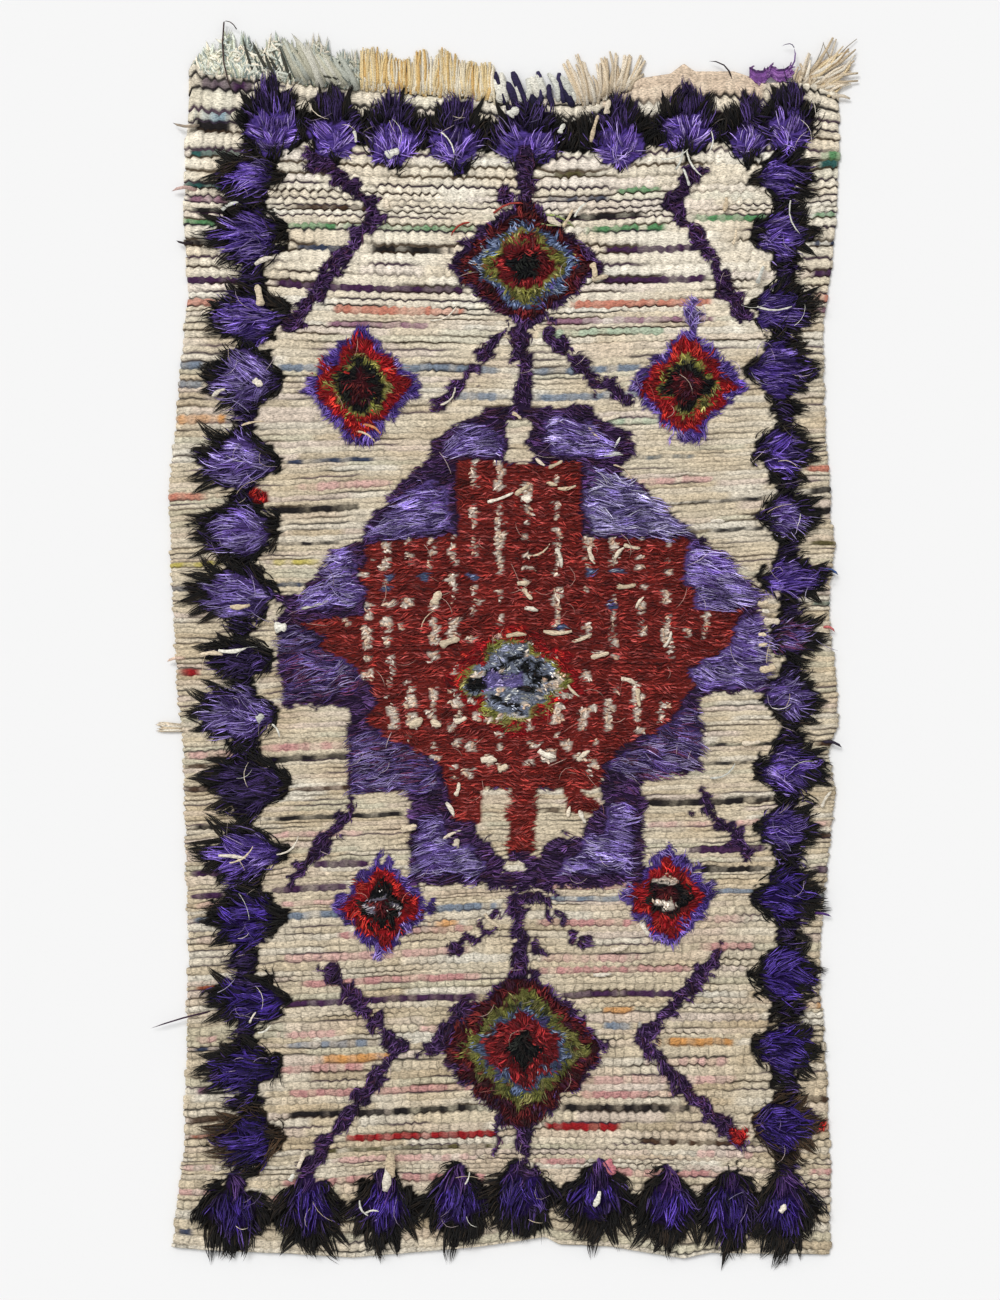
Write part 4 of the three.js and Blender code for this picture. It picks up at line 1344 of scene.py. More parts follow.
def nearest_seed(points, kind, count_in_lock, draw):
    """For each point, one of a few chosen points of the same kind that is near it."""
    seeds = np.nonzero(draw.uniform(0, 1, len(points)) < 1 / count_in_lock)[0]
    nearest = np.zeros(len(points), int)
    for start in range(0, len(points), ROOTS_AT_ONCE):
        part = slice(start, start + ROOTS_AT_ONCE)
        apart = ((points[part, None] - points[None, seeds]) ** 2).sum(2)
        apart += 1e6 * (kind[part, None] != kind[None, seeds])
        nearest[part] = seeds[apart.argmin(1)]
    return nearest


def knotted(group, comb, spacing, draw):
    """The places of a group's knots on a jittered grid over the whole field, and the patch at each."""
    steps = spacing * np.array([comb.across, comb.along])
    lines = [np.arange(low, high, step) for low, high, step in zip(GRID_FROM, GRID_TO, steps)]
    grid = np.column_stack([part.ravel() for part in np.meshgrid(*lines)])
    jitter = np.array([1.0, 0.25 if comb.along > comb.across else 1.0]) * steps / 2
    at = grid + np.column_stack([draw.uniform(-1, 1, len(grid)) * reach for reach in jitter])
    found = read_pattern(at)
    chosen = (found >= 0) & (GROUPS[found] == group)
    return at[chosen], found[chosen]


def spun(group, comb, at, found, seed, settings, draw):
    """The heading, length, width and dye of each strand, as its patch's comb and wool give them."""
    count = len(at)
    heading, length, width = np.zeros(count), np.zeros(count), np.zeros(count)
    dye = np.zeros((count, 3))
    most = EYE_STRAND if group == "pile_eyes" else 1.0
    for number in np.unique(found):
        patch = PATTERN[number]
        wool = WOOLS[patch.wool]
        here = found == number
        heading[here] = patch.comb(*at[here].T)
        length[here] = settings.long * min(wool.length, most) * comb.length
        width[here] = settings.strand * wool.width
        palette = palette_of(wool.colours)
        pick = draw.integers(0, 1 << 20, count)
        pick = np.where(draw.uniform(0, 1, count) < comb.mottle, pick[seed], pick)[here]
        dye[here] = palette[pick % len(palette)]
    length *= draw.uniform(0.7, 1.15, count) * draw.uniform(0.8, 1.25, count)[seed]
    heading += comb.stray * (0.7 * draw.normal(0, 1, count)[seed] + 0.6 * draw.normal(0, 1, count))
    heading += 0.22 * wander(*at.T, 60, 51)
    return heading, length, width, dye


def pile_of(group, settings):
    """The strands of one group of patches. They cling together in locks, and few cross their patch's edge."""
    comb = COMBS[group]
    draw = chance(settings.seed + sum(map(ord, group)))
    at, found = knotted(group, comb, settings.spacing, draw)
    count = len(at)
    seed = nearest_seed(at, found, comb.lock, draw)
    shifted = read_pattern(at + draw.normal(0, comb.bleed, (count, 2))[seed])
    found = np.where((shifted >= 0) & (GROUPS[shifted] == group), shifted, found)
    heading, length, width, dye = spun(group, comb, at, found, seed, settings, draw)

    ahead, beside = headings(heading)
    back = np.zeros(count)
    for share in (0.35, 0.7, 1.0):
        behind = at - ahead * (length * comb.slant * share)[:, None]
        back = np.where(read_pattern(behind) == found, share, back)
    root = at - ahead * (length * comb.slant * back + 1)[:, None]
    tip = at + ahead * (length * (1 - comb.slant))[:, None]
    near = np.linalg.norm(at - at[seed], axis=1) < LOCK_REACH
    pull = (comb.cling * draw.uniform(0.5, 1, count) * near)[:, None]
    tip = mix(tip, tip[seed] + draw.normal(0, 1.2, (count, 2)), pull)
    bow = (draw.normal(0, 0.13, count) + draw.normal(0, 0.12, count)[seed]) * length
    middle = mix(root, tip, 0.45) + beside * bow[:, None]

    tall = (settings.height - GROUND_Z) * np.minimum(1, length / FULL_LENGTH)
    stand = 0.45 * draw.uniform(0, 1, count) + 0.55 * draw.uniform(0, 1, count)[seed]
    root_z = np.clip(inside_rim(root) * 0.6, FLOOR_Z, GROUND_Z - 2)
    middle_z = GROUND_Z + 2 + tall * (0.55 + 0.75 * stand)
    tip_z = GROUND_Z + 1 + tall * (0.05 + 0.75 * stand)
    margin = inside_rim(tip)
    tip_z = np.where(margin > 0, tip_z, np.maximum(FLOOR_Z, tip_z + 0.35 * margin))
    shade = draw.lognormal(0, 0.7 * comb.shade, count) * draw.lognormal(0, comb.shade, count)[seed]
    shade *= 1 + 0.8 * comb.shade * wander(*at.T, 75, 61)
    # The maroon wool is painted darker and lighter in bands along its rows: painted shade between the rows of
    # pile.
    if group == "pile_maroon":
        bands = 2 * math.pi * at[:, 1] / ROW_SHADE_PITCH + 2 * wander(*at.T, 400, 71)
        shade *= 1 + ROW_SHADE * np.sin(bands)
    points = raised(root, root_z), raised(middle, middle_z), raised(tip, tip_z)
    width = width * draw.uniform(0.8, 1.25, count)
    return strands_of(*points, width, FLATNESS, dye * np.clip(shade, 0.3, 2.4)[:, None])


def tuft_at(at, heading, surround, palette, width, draw):
    """One pointed lock. Its strands start side by side and draw together towards its tip."""
    many = TUFT_STRANDS
    ahead, beside = headings([heading])
    reach = surround.reach * draw.uniform(0.35, 1.15)
    blunt = draw.uniform(0.0, 0.35)
    offset = draw.uniform(-0.5, 0.5, many)[:, None] * surround.wide * draw.uniform(0.7, 1.3)
    root = at + beside * offset - ahead * draw.uniform(0, 18, many)[:, None]
    tip = at + ahead * (reach * draw.uniform(0.5, 1.0, many) ** 0.7)[:, None] + beside * offset * blunt
    middle = mix(root, tip, 0.5) + beside * (offset * 0.6 + draw.normal(0, 0.1) * reach)
    margin = inside_rim(tip)
    top = np.where(margin > 0, draw.uniform(10, 15, many), np.maximum(FLOOR_Z, 10 + 0.5 * margin))
    middle = raised(middle, GROUND_Z + 8 + draw.uniform(0, 4, many))
    width = width * draw.uniform(0.8, 1.3, many)
    dye = palette[draw.integers(0, len(palette), many)] * draw.uniform(0.7, 1.4, (many, 1))
    return strands_of(raised(root, GROUND_Z), middle, raised(tip, top), width, FLATNESS, dye)


def tufts_of(group, settings):
    """The pointed locks that stand out of the black wool round the border's hearts."""
    draw = chance(settings.seed + 3 + sum(map(ord, group)))
    lots = []
    for side, motifs, heading in (border[1:] for border in BORDERS if border[0] == group):
        surround = SURROUND[side]
        for motif in motifs:
            _, around, half, wool = surround_of(motif, side, heading)
            palette = palette_of(WOOLS[wool].colours)
            for share in np.linspace(-1, 1, surround.tufts) + draw.uniform(-0.16, 0.16, surround.tufts):
                turn = heading + share
                at = np.array(around) + 0.62 * np.array(half) * (math.cos(turn), math.sin(turn))
                bend = heading + 0.55 * share + draw.normal(0, 0.22)
                lots.append(tuft_at(at, bend, surround, palette, settings.strand, draw))
    return lots


def loose_hairs(settings):
    """Single hairs that have worked out of the wool and lie over it, each a paler shade of the wool below."""
    draw = chance(settings.seed + 29)
    at = np.column_stack([draw.uniform(-550, 560, HAIR_TRIES), draw.uniform(-980, 960, HAIR_TRIES)])
    found = read_pattern(at)
    keep = (found >= 0) & (GROUPS[found] != "pile_flecks") & (inside_rim(at) > 30)
    at, found = at[keep], found[keep]
    count = len(at)
    turn, reach = draw.uniform(0, 2 * math.pi, count), draw.uniform(18, 52, (count, 1))
    ahead, beside = headings(turn)
    bow = draw.normal(0, 0.4, (count, 1)) * reach
    low = GROUND_Z + 7
    root, middle = raised(at - ahead * reach / 2, low), raised(at + beside * bow, settings.height + 3)
    tip = raised(at + ahead * reach / 2, low + draw.uniform(0, 5, count))
    width = draw.uniform(0.8, 1.4, count)
    dye = palette_of(WOOLS[PATTERN[number].wool].colours[3] for number in found)
    dye = mix(dye, HAIR_TINT, draw.uniform(0.1, 0.7, (count, 1)))
    return strands_of(root, middle, tip, width, FLATNESS, dye)


# ---- The fringe ----
def profile(*points):
    """A height read off a short list of (x, y) points."""
    at = np.array(points, float)
    return lambda x: np.interp(x, at[:, 0], at[:, 1])


SAGE_TIPS = profile(
    (-534, 1082), (-524, 1099), (-506, 1080), (-492, 1122), (-474, 1098), (-456, 1110), (-430, 1090),
    (-401, 1114), (-380, 1092), (-362, 1098), (-345, 1088), (-328, 1113), (-312, 1092), (-298, 1082),
    (-276, 1079), (-254, 1074),
)
OCHRE_TIPS = profile(
    (-254, 1077), (-222, 1079), (-211, 1068), (-182, 1060), (-158, 1062), (-150, 1076), (-134, 1074),
    (-127, 1056), (-114, 1078), (-96, 1070), (-82, 1058), (-61, 1052), (-17, 1051),
)
CREAM_TIPS = profile((128, 1048), (146, 1066), (168, 1056), (184, 1072), (208, 1062), (232, 1074))
UPRIGHT, SPLAYED = profile((0, 0)), profile((126, -30), (176, 0), (226, 30))
SWEPT = profile((-372, -30), (-300, -46), (-262, -30))
SAGE = (0xC4CBBE, 0xD6DACC, 0xB0B8AC, 0x96A29C, 0xE2E0D0, 0xBCC0A8, 0xE6DDC8, 0x84908A)
SAGE_MAT = (0xD2D5C8, 0xDEDED0, 0xC0C5BA, 0xA6AEA8, 0xE6E2D2, 0xCCCAB4, 0xEAE0CC, 0x8E968E)
SAGE_LOCKS, SAGE_SHADOW = (0xDEDBCC, 0xC6C9BC, 0xCCC9B4), (0x4A4A42, 0x6E746C)
SAGE_LIGHTENING = profile((-534, 1.5), (-400, 1.3), (-330, 1.0))  # lighter towards the left corner
OCHRE = (0xE0BE80, 0xE8D2A6, 0xEDE0C4, 0xDBB474, 0xF0E6D0, 0xE6CE9C, 0xE8DABC)
CREAM = (0xEADBC4, 0xE0CEB2, 0xF0E6D4, 0xD6C2A4)
LILAC = (0xA8A0B8, 0x8C84A4, 0xBDB6C6, 0x6E6688)
PINK = (0xE0929C, 0xD8848E)
NAVY = (0x322C4A, 0x3B3556, 0x2A2640)
WHITE = (0xE4E2D6, 0xD2D2C8, 0xEFEBDD)

# Each lot of fringe yarns: from which x to which, how many, where they end and lean, how unevenly they are
# cut, how thick they are, how firmly they cling together, and a number that sets their chances apart.
FRINGES = table(
    namedtuple("Fringe", "start end yarns tips codes lean ragged thick cling seed"),
    (-534, -256, 260, SAGE_TIPS, SAGE, UPRIGHT, 62, 5.0, 0.75, 1),
    (-362, -258, 22, SAGE_TIPS, SAGE_LOCKS, SWEPT, 24, 10.0, 0.2, 12),
    (-440, -262, 20, SAGE_TIPS, SAGE_SHADOW, SWEPT, 56, 5.0, 0.3, 13),
    (-252, -18, 200, OCHRE_TIPS, OCHRE, UPRIGHT, 13, 5.2, 0.3, 2),
    (130, 222, 62, CREAM_TIPS, CREAM, SPLAYED, 40, 7.0, 0.5, 3),
)
HEAD_KNOT_Z = 10.5  # how high a yarn leaves the head end


def fringe_yarns(settings, fringe):
    """A lot of yarns that leave the head end side by side, cling together and end near a profile."""
    count, cling = fringe.yarns, fringe.cling
    draw = chance(settings.seed + fringe.seed)
    x = np.linspace(fringe.start, fringe.end, count) + draw.uniform(-3, 3, count)
    foot = head_at(x) - draw.uniform(2, 20, count)
    reach = fringe.tips(x) - draw.uniform(0, 1, count) ** 1.4 * fringe.ragged
    tip_x = x + fringe.lean(x) + draw.normal(0, 5, count)
    seeds = np.sort(draw.choice(count, max(2, count // 7), replace=False))
    seed_of = seeds[np.abs(x[:, None] - x[None, seeds]).argmin(1)]
    tip_x = mix(tip_x, tip_x[seed_of], cling * draw.uniform(0.4, 1, count))
    lift = settings.height * draw.uniform(0.2, 1.0, count)
    root = np.column_stack([x, foot, np.full(count, HEAD_KNOT_Z)])
    tip = np.column_stack([tip_x, reach, np.maximum(2.0, lift - 2)])
    middle = mix(root, tip, 0.5)
    middle[:, 0] += draw.normal(0, 4, count) + 6 * draw.normal(0, 1, count)[seed_of] * cling
    middle[:, 2] = 6 + lift
    width = fringe.thick * draw.uniform(0.7, 1.3, count)
    return strands_of(root, middle, tip, width, FLATNESS, dyes(fringe.codes, draw, count))


def matting(settings):
    """Short curls that lie every way over the sage fringe's foot and hide where its yarns start."""
    draw = chance(settings.seed + 9)
    count = 620
    x = draw.uniform(-536, -258, count)
    low, high = head_at(x) - 8, np.maximum(SAGE_TIPS(x) - 26, head_at(x) + 6)
    at = np.column_stack([x, mix(low, high, draw.uniform(0, 1, count) ** 1.2)])
    turn = draw.normal(math.pi / 2 + 0.2, 0.9, count)
    ahead, beside = headings(turn)
    length = 24 * draw.uniform(0.6, 1.3, count)[:, None]
    top = 6 + settings.height * draw.uniform(0.4, 1.1, count)
    root, tip = raised(at - ahead * length / 2, top - 3), raised(at + ahead * length / 2, top - 2)
    middle = mix(root, tip, 0.5) + raised(beside * length * draw.normal(0, 0.35, count)[:, None], 4.0)
    width = 5.0 * draw.uniform(0.7, 1.2, count)
    return strands_of(root, middle, tip, width, FLATNESS, dyes(SAGE_MAT, draw, count))


def loops(settings):
    """Fat loops of navy and white cloth that lean one over the other, and thinner ones below them."""
    draw = chance(settings.seed + 4)
    many = 17
    across = np.linspace(-12, 120, many) + draw.normal(0, 2.5, many)
    small = np.arange(many) % 4 == 3
    lean = np.interp(across, (-14, 60, 122), (-20, -8, -14)) + draw.normal(0, 5, many)
    foot = np.where(small, 972, 984) + draw.uniform(-8, 6, many)
    tip_y = np.where(small, 1006, 1026) + draw.uniform(-6, 12, many)
    root = np.column_stack([across - lean * 0.3, foot, np.full(many, GROUND_Z)])
    tip = np.column_stack([across + lean * 0.7, tip_y, draw.uniform(3, 7, many)])
    bow = [draw.normal(0, 7, many), np.zeros(many), draw.uniform(6, 11, many)]
    middle = mix(root, tip, 0.5) + np.column_stack(bow)
    width = draw.uniform(11, 17, many)
    dye = np.concatenate([dyes(NAVY if k % 2 else WHITE, draw, 1) for k in range(many)])
    return strands_of(root, middle, tip, width, 0.7, dye)


# The frayed tassel: where each bundle of yarns starts, where it heads, how far it reaches and how it fans
# out. A bundle of one is a thin dark yarn on its own.
BUNDLES = table(
    namedtuple("Bundle", "x y turn reach fan yarns"),
    (533, 1022, 40, 98, 8, 14), (548, 1010, 25, 76, 11, 14), (512, 1010, 84, 34, 18, 9),
    (566, 998, 8, 42, 16, 8), (524, 1020, 66, 46, 16, 8), (538, 1040, 66, 50, 1, 1),
    (573, 1048, 115, 40, 1, 1), (572, 1046, 46, 64, 1, 1),
)
LONE_YARN, LONE_SHADE = 0.6, 0.45


def tassel_yarns(settings):
    draw = chance(settings.seed + 6)
    """The tassel's yarns, bundle by bundle."""
    many = [row.yarns for row in BUNDLES]
    names = ("x", "y", "turn", "reach", "fan")
    x, y, heading, length, fan_out = (np.repeat(column(BUNDLES, name), many) for name in names)
    count = len(x)
    alone = np.repeat(many, many) == 1
    start = np.column_stack([x, y]) + draw.normal(0, 1, (count, 2)) * np.where(alone[:, None], 0, (5, 6))
    turn = np.radians(heading + fan_out * draw.normal(0, 1, count))
    reach = length * np.where(alone, 1, draw.uniform(0.5, 1.0, count))
    ahead, beside = headings(turn)
    aside = beside * (draw.normal(0, 0.14, count) * reach)[:, None]
    run = ahead * reach[:, None]
    low = draw.uniform(3, 9, count)
    middle = raised(start + run / 2 + aside, low + draw.uniform(2, 7, count))
    width = settings.yarn * np.where(alone, LONE_YARN, draw.uniform(1.2, 2.1, count))
    tan = dyes(CREAM + CREAM + (0xE6CFA6, 0xC9AC84), draw, count)
    tan[alone] *= LONE_SHADE
    return strands_of(raised(start, 8.0), middle, raised(start + run, low), width, 0.55, tan)


BRAID_START, BRAID_END, BRAID_LOBES = 428.0, 502.0, 2
BRAID_LINE, BRAID_CLIMB = 1032.0, 6.0  # its height where it starts, and how much higher it ends
BRAID_DIP, BRAID_HALF = 11.0, 9.0
BRAID_CORDS, BRAID_HAIRS, BRAID_HAIR = 9, 170, 9.0  # its cords, its loose hairs and their length
BRAID_WOOL, BRAID_EDGE = (0x8A5A9E, 0x9C6CAE, 0x7A4C90), 0x4A2C5C
BRAID_FUZZ = (0x8A5A9E, 0x9C6CAE, 0x6E4284, 0xB086BE)
DARK_FROM = 0.6  # beyond this share of its half width, the braid's head side is darker


def braid_line(share, across):
    """The braid's scalloped line, and lines beside it: share runs along it, across from -1 to 1."""
    dip = BRAID_DIP * np.abs(np.sin(math.pi * BRAID_LOBES * share))
    y = BRAID_LINE + BRAID_CLIMB * share - dip + BRAID_HALF * across
    return np.column_stack([mix(BRAID_START, BRAID_END, share), y])


def braid_cords(draw):
    """Cords side by side, each arched over the two humps."""
    lines = np.linspace(-1, 1, BRAID_CORDS)
    lines, lobe = (grid.ravel() for grid in np.meshgrid(lines, np.arange(BRAID_LOBES)))
    rise = 9 + 2.5 * (1 - lines**2)
    stops = [raised(braid_line((lobe + part) / BRAID_LOBES, lines), rise) for part in (0, 0.5, 1)]
    root, middle, tip = stops
    middle = 2 * middle - (root + tip) / 2 + (0, 0, 4)
    felt = dyes(BRAID_WOOL, draw, len(lines))
    felt[lines > DARK_FROM] = linear(BRAID_EDGE)
    return strands_of(root, middle, tip, 5.0, FLATNESS, felt)


def braid_hairs(draw):
    """Short hairs that stand off the cords, roughly along them."""
    count = BRAID_HAIRS
    share, across = draw.uniform(0.02, 0.98, count), draw.uniform(-1, 1, count)
    root = raised(braid_line(share, across), HEAD_KNOT_Z)
    through = math.pi * BRAID_LOBES * share
    turn = np.arctan(-np.cos(through) * np.sign(np.sin(through))) + draw.normal(0, 0.5, count)
    tip = root + raised(headings(turn)[0] * BRAID_HAIR, draw.uniform(-1, 1, count))
    bow = np.column_stack([np.zeros(count), draw.normal(0, 1.5, count), np.full(count, 3.0)])
    colours = dyes(BRAID_FUZZ, draw, count)
    colours[across > DARK_FROM] *= 0.55
    return strands_of(root, mix(root, tip, 0.5) + bow, tip, 2.6, 0.9, colours)


# ---- Loose ends ----
# Ends of rag and thread that lie on the rug. The turn is in degrees.
LooseStrip = namedtuple("LooseStrip", "x y turn length width lift codes")
LOOSE_STRIPS = table(
    LooseStrip,
    (450, 104, 8, 22, 9, 18, CREAM), (449, 47, -6, 17, 8, 18, CREAM), (450, 31, 10, 19, 8, 18, CREAM),
    (458, -10, 4, 34, 13, 17, CREAM), (455, 88, -12, 16, 8, 17, CREAM), (88, 346, 25, 34, 7, 8, CREAM),
    (62, 350, -40, 26, 7, 7, CREAM), (108, 306, 8, 40, 7, 7, CREAM), (82, 312, -15, 24, 8, 6, CREAM),
    (-8, 288, 20, 60, 6, 8, CREAM), (30, 300, 35, 36, 9, 8, CREAM), (38, 286, 0, 24, 16, 6, CREAM),
    (200, 190, 50, 32, 8, 9, CREAM), (222, 202, -12, 36, 7, 8, CREAM), (152, 186, -70, 38, 9, 7, CREAM),
    (94, 182, -75, 44, 8, 9, CREAM), (60, 196, 30, 42, 4, 7, CREAM), (212, 134, 5, 42, 9, 7, CREAM),
    (32, 137, 0, 26, 10, 8, CREAM), (40, 119, -50, 30, 9, 8, CREAM), (46, 92, -12, 30, 9, 8, CREAM),
    (236, 104, 55, 30, 6, 6, CREAM), (-118, 112, 60, 30, 17, 9, CREAM), (-136, 70, 60, 44, 2, 6, CREAM),
    (-96, 34, 20, 44, 14, 9, CREAM), (92, 54, 0, 62, 9, 7, CREAM), (134, 42, 22, 48, 7, 7, CREAM),
    (20, 46, 5, 44, 9, 7, CREAM), (284, 40, 65, 38, 6, 7, CREAM), (-330, 102, 16, 70, 6, 7, WHITE),
    (166, 12, 15, 40, 9, 7, CREAM), (216, -34, -20, 34, 9, 8, CREAM), (234, -62, -85, 40, 8, 8, CREAM),
    (120, -50, -45, 36, 6, 7, CREAM), (-156, -104, 30, 32, 18, 8, CREAM),
    (-120, -106, -30, 24, 14, 7, CREAM), (-78, -100, 20, 28, 10, 7, CREAM),
    (-28, -172, 0, 34, 14, 8, CREAM), (-4, -184, 25, 22, 12, 7, CREAM), (74, -160, -20, 40, 12, 7, CREAM),
    (138, -164, 40, 34, 9, 7, CREAM), (-96, -258, -60, 36, 9, 8, CREAM), (-84, -222, 75, 30, 8, 7, CREAM),
    (136, -270, -65, 30, 9, 8, CREAM), (112, -262, 80, 24, 8, 7, CREAM), (-168, -288, 10, 34, 14, 9, CREAM),
    (-92, -302, 25, 44, 6, 7, CREAM), (-86, -316, 80, 18, 13, 8, CREAM), (156, 400, -45, 40, 5, 8, CREAM),
    (196, 384, 60, 26, 5, 8, WHITE), (186, 428, 15, 40, 8, 6, CREAM), (190, 362, 5, 42, 9, 6, WHITE),
    (206, 330, -42, 44, 3, 6, CREAM), (154, 684, -80, 32, 12, 9, CREAM), (166, 672, 10, 36, 10, 8, CREAM),
    (-100, 465, 50, 40, 4, 8, CREAM), (20, 430, -35, 24, 7, 8, CREAM), (-108, 610, 28, 52, 3, 6, CREAM),
    (86, 770, -30, 36, 12, 9, CREAM), (110, 776, 60, 44, 6, 9, CREAM), (132, 790, 50, 40, 5, 8, WHITE),
    (-196, 888, 20, 30, 16, 9, WHITE), (-208, 800, 100, 22, 10, 7, CREAM), (16, 958, 30, 24, 18, 16, WHITE),
    (156, 930, 75, 60, 8, 20, CREAM), (180, 968, 78, 30, 12, 20, CREAM), (100, 930, 60, 22, 10, 20, WHITE),
    (304, 876, 70, 46, 5, 20, WHITE), (330, 870, -60, 52, 4, 20, WHITE), (316, 846, 110, 40, 5, 18, WHITE),
    (296, 886, 20, 50, 3, 22, WHITE), (358, 908, 85, 34, 3, 22, WHITE), (-100, 904, -60, 46, 3, 22, WHITE),
    (-262, 916, -80, 26, 6, 18, WHITE), (-430, 640, 100, 46, 15, 14, CREAM),
    (-420, 700, 20, 44, 10, 12, CREAM), (-480, 796, 25, 40, 7, 12, WHITE),
    (-500, 470, 30, 32, 8, 12, CREAM), (-430, 488, -30, 22, 14, 18, CREAM),
    (-440, 416, 10, 40, 4, 20, CREAM), (-392, 60, 0, 26, 20, 12, WHITE), (-462, 98, 5, 44, 10, 20, CREAM),
    (-512, 12, 2, 50, 9, 18, CREAM), (-476, 22, 5, 60, 8, 20, WHITE), (-400, -120, -60, 26, 4, 16, WHITE),
    (-428, -96, 45, 18, 14, 18, WHITE), (-476, -340, -5, 60, 7, 22, CREAM),
    (-460, -336, 35, 50, 4, 22, CREAM), (-380, -320, 40, 50, 4, 12, CREAM),
    (-440, -620, 60, 22, 4, 20, CREAM), (-420, -640, 30, 26, 4, 20, WHITE),
    (-356, -868, 70, 44, 9, 12, CREAM), (-196, -878, -85, 52, 20, 14, CREAM),
    (-246, -952, -60, 30, 4, 22, WHITE), (-232, -960, 10, 24, 4, 22, WHITE),
    (-66, -900, 70, 24, 3, 22, WHITE), (160, -936, 70, 36, 11, 24, WHITE),
    (484, -952, 60, 20, 12, 22, CREAM), (-372, -900, 60, 18, 9, 12, WHITE),
    (184, -884, -60, 34, 20, 6, PINK), (-208, -903, 85, 52, 17, 14, CREAM),
    (200, -500, 15, 40, 11, 7, CREAM), (-22, -452, -40, 44, 7, 8, CREAM), (170, -546, 4, 40, 8, 7, CREAM),
    (246, -466, -60, 34, 10, 6, CREAM), (372, 246, 0, 30, 8, 6, CREAM), (400, 742, 78, 34, 6, 14, CREAM),
    (446, 676, 70, 40, 8, 14, WHITE), (470, 620, 0, 60, 4, 22, WHITE), (506, 776, -75, 60, 3, 20, WHITE),
    (384, 800, 80, 30, 9, 10, CREAM), (466, 70, 0, 34, 14, 12, CREAM), (458, -10, 20, 34, 12, 12, CREAM),
    (430, -140, 5, 40, 9, 10, CREAM), (562, -240, 60, 40, 6, 10, CREAM), (380, -190, 30, 50, 4, 12, WHITE),
)
THREAD = 4  # a strip no wider than this is a thread, and curls more
STRIP_TOP = 26.0

# Single yarns that lie across the rug or stick out of it.
STRAY_YARNS = table(
    namedtuple("Stray", "start end bend width code"),
    ((-492, 1120), (-474, 990), (-500, 1040), 3.0, 0x4A3A38),
    ((-470, 1108), (-494, 1121), (-478, 1122), 2.0, 0x4A3A38),
    ((-516, -612), (-622, -642), (-560, -618), 3.4, 0x3A2438),
    ((494, 1036), (506, 1076), (512, 1044), 3.2, 0x6A4A82),
    ((506, 1076), (484, 1078), (500, 1084), 1.8, 0x5A4A6C),
    ((398, 1020), (356, 1052), (388, 1050), 3.0, 0x2C2028),
    ((552, 160), (584, 152), (570, 166), 6.0, 0x3C5A94),
    ((556, -140), (590, -150), (576, -136), 6.0, 0x2C2434),
    ((540, -440), (572, -446), (556, -436), 5.0, 0x4C2C6E),
    ((-540, 826), (-584, 824), (-560, 834), 7.0, 0xC8A8A0),
    ((-536, 940), (-582, 944), (-560, 930), 6.0, 0x9A8C7C),
    ((-546, 734), (-576, 738), (-562, 728), 5.0, 0x2E2428),
    ((-560, 6), (-592, 0), (-580, 10), 6.0, 0xD8BCA8), ((556, 60), (578, 52), (568, 66), 5.0, 0xC86C6C),
    ((70, 782), (124, 758), (96, 784), 4.0, 0x9CAA6A), ((60, 768), (118, 772), (92, 756), 3.0, 0xB8C088),
    ((-60, 770), (-96, 742), (-88, 766), 4.0, 0x9A3A2E), ((-20, 786), (40, 800), (10, 810), 4.0, 0xA8443A),
    ((-250, 416), (-214, 392), (-222, 414), 5.0, 0xD08A5C),
    ((-262, 404), (-224, 380), (-236, 402), 4.0, 0xE0C8A4),
)


def scattered_threads(draw):
    """A thread or two, or none, over each of the border's hearts."""
    for motif in LEFT_BORDER + RIGHT_BORDER + HEAD_BORDER + FOOT_BORDER:
        for _ in range(draw.integers(0, 3)):
            x, y = motif.x + draw.normal(0, 26), motif.y + draw.normal(0, 26)
            turn, length, width = draw.uniform(-90, 90), draw.uniform(20, 52), draw.uniform(0.8, 1.5)
            yield LooseStrip(x, y, turn, length, width, 22, WHITE + CREAM + LILAC)


def loose_strips(draw):
    """Flat ends of rag, and thin threads that curl more."""
    rows = LOOSE_STRIPS + list(scattered_threads(draw))
    count = len(rows)
    turn, length, width, lift = (column(rows, name) for name in ("turn", "length", "width", "lift"))
    rag = width > THREAD
    length = np.where(rag, 0.8 * length, length)
    bend = np.where(rag, draw.uniform(0.02, 0.22, count), draw.uniform(0.1, 0.4, count))
    ahead, beside = headings(np.radians(turn))
    centre = np.column_stack([column(rows, "x"), column(rows, "y")])
    half = ahead * length[:, None] / 2
    lift = np.minimum(lift + 8, STRIP_TOP)
    root, tip = raised(centre - half, lift - 2), raised(centre + half, lift)
    bow = (bend * draw.choice((-1, 1), count) * length)[:, None] * beside
    dye = np.concatenate([dyes(row.codes, draw, 1) for row in rows])
    return strands_of(root, mix(root, tip, 0.5) + raised(bow, 3.0), tip, width, 0.3, dye)


def stray_yarns():
    """The single yarns, low at both ends and bent up between them."""
    root, middle, tip = (
        raised([getattr(yarn, name) for yarn in STRAY_YARNS], z)
        for name, z in (("start", 8.0), ("bend", 24.0), ("end", 8.0))
    )
    dye = palette_of(yarn.code for yarn in STRAY_YARNS)
    return strands_of(root, middle, tip, column(STRAY_YARNS, "width"), 0.9, dye)


def rag_end(draw):
    """The strips of the folded end of rag at the left edge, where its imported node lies."""
    low, high = (np.array(corner[:2]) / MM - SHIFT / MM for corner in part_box("loose_rag_end"))
    many = 12
    y = np.linspace(low[1] + 5, high[1] - 6, many)
    root = np.column_stack([np.full(many, high[0] + 6), mix(low[1] + 12, y, 0.6), np.full(many, 4.0)])
    tip = np.column_stack([low[0] + draw.uniform(0, 12, many), y + 2, draw.uniform(2, 6, many)])
    middle = mix(root, tip, 0.5) + (0, 0, 3)
    return strands_of(root, middle, tip, 5.0, 0.6, dyes(CREAM, draw, many))


# ---- Operators ----
class RugOperator:
    bl_options = {"REGISTER"}

    def execute(self, context):
        self.make(context.scene)
        return {"FINISHED"}


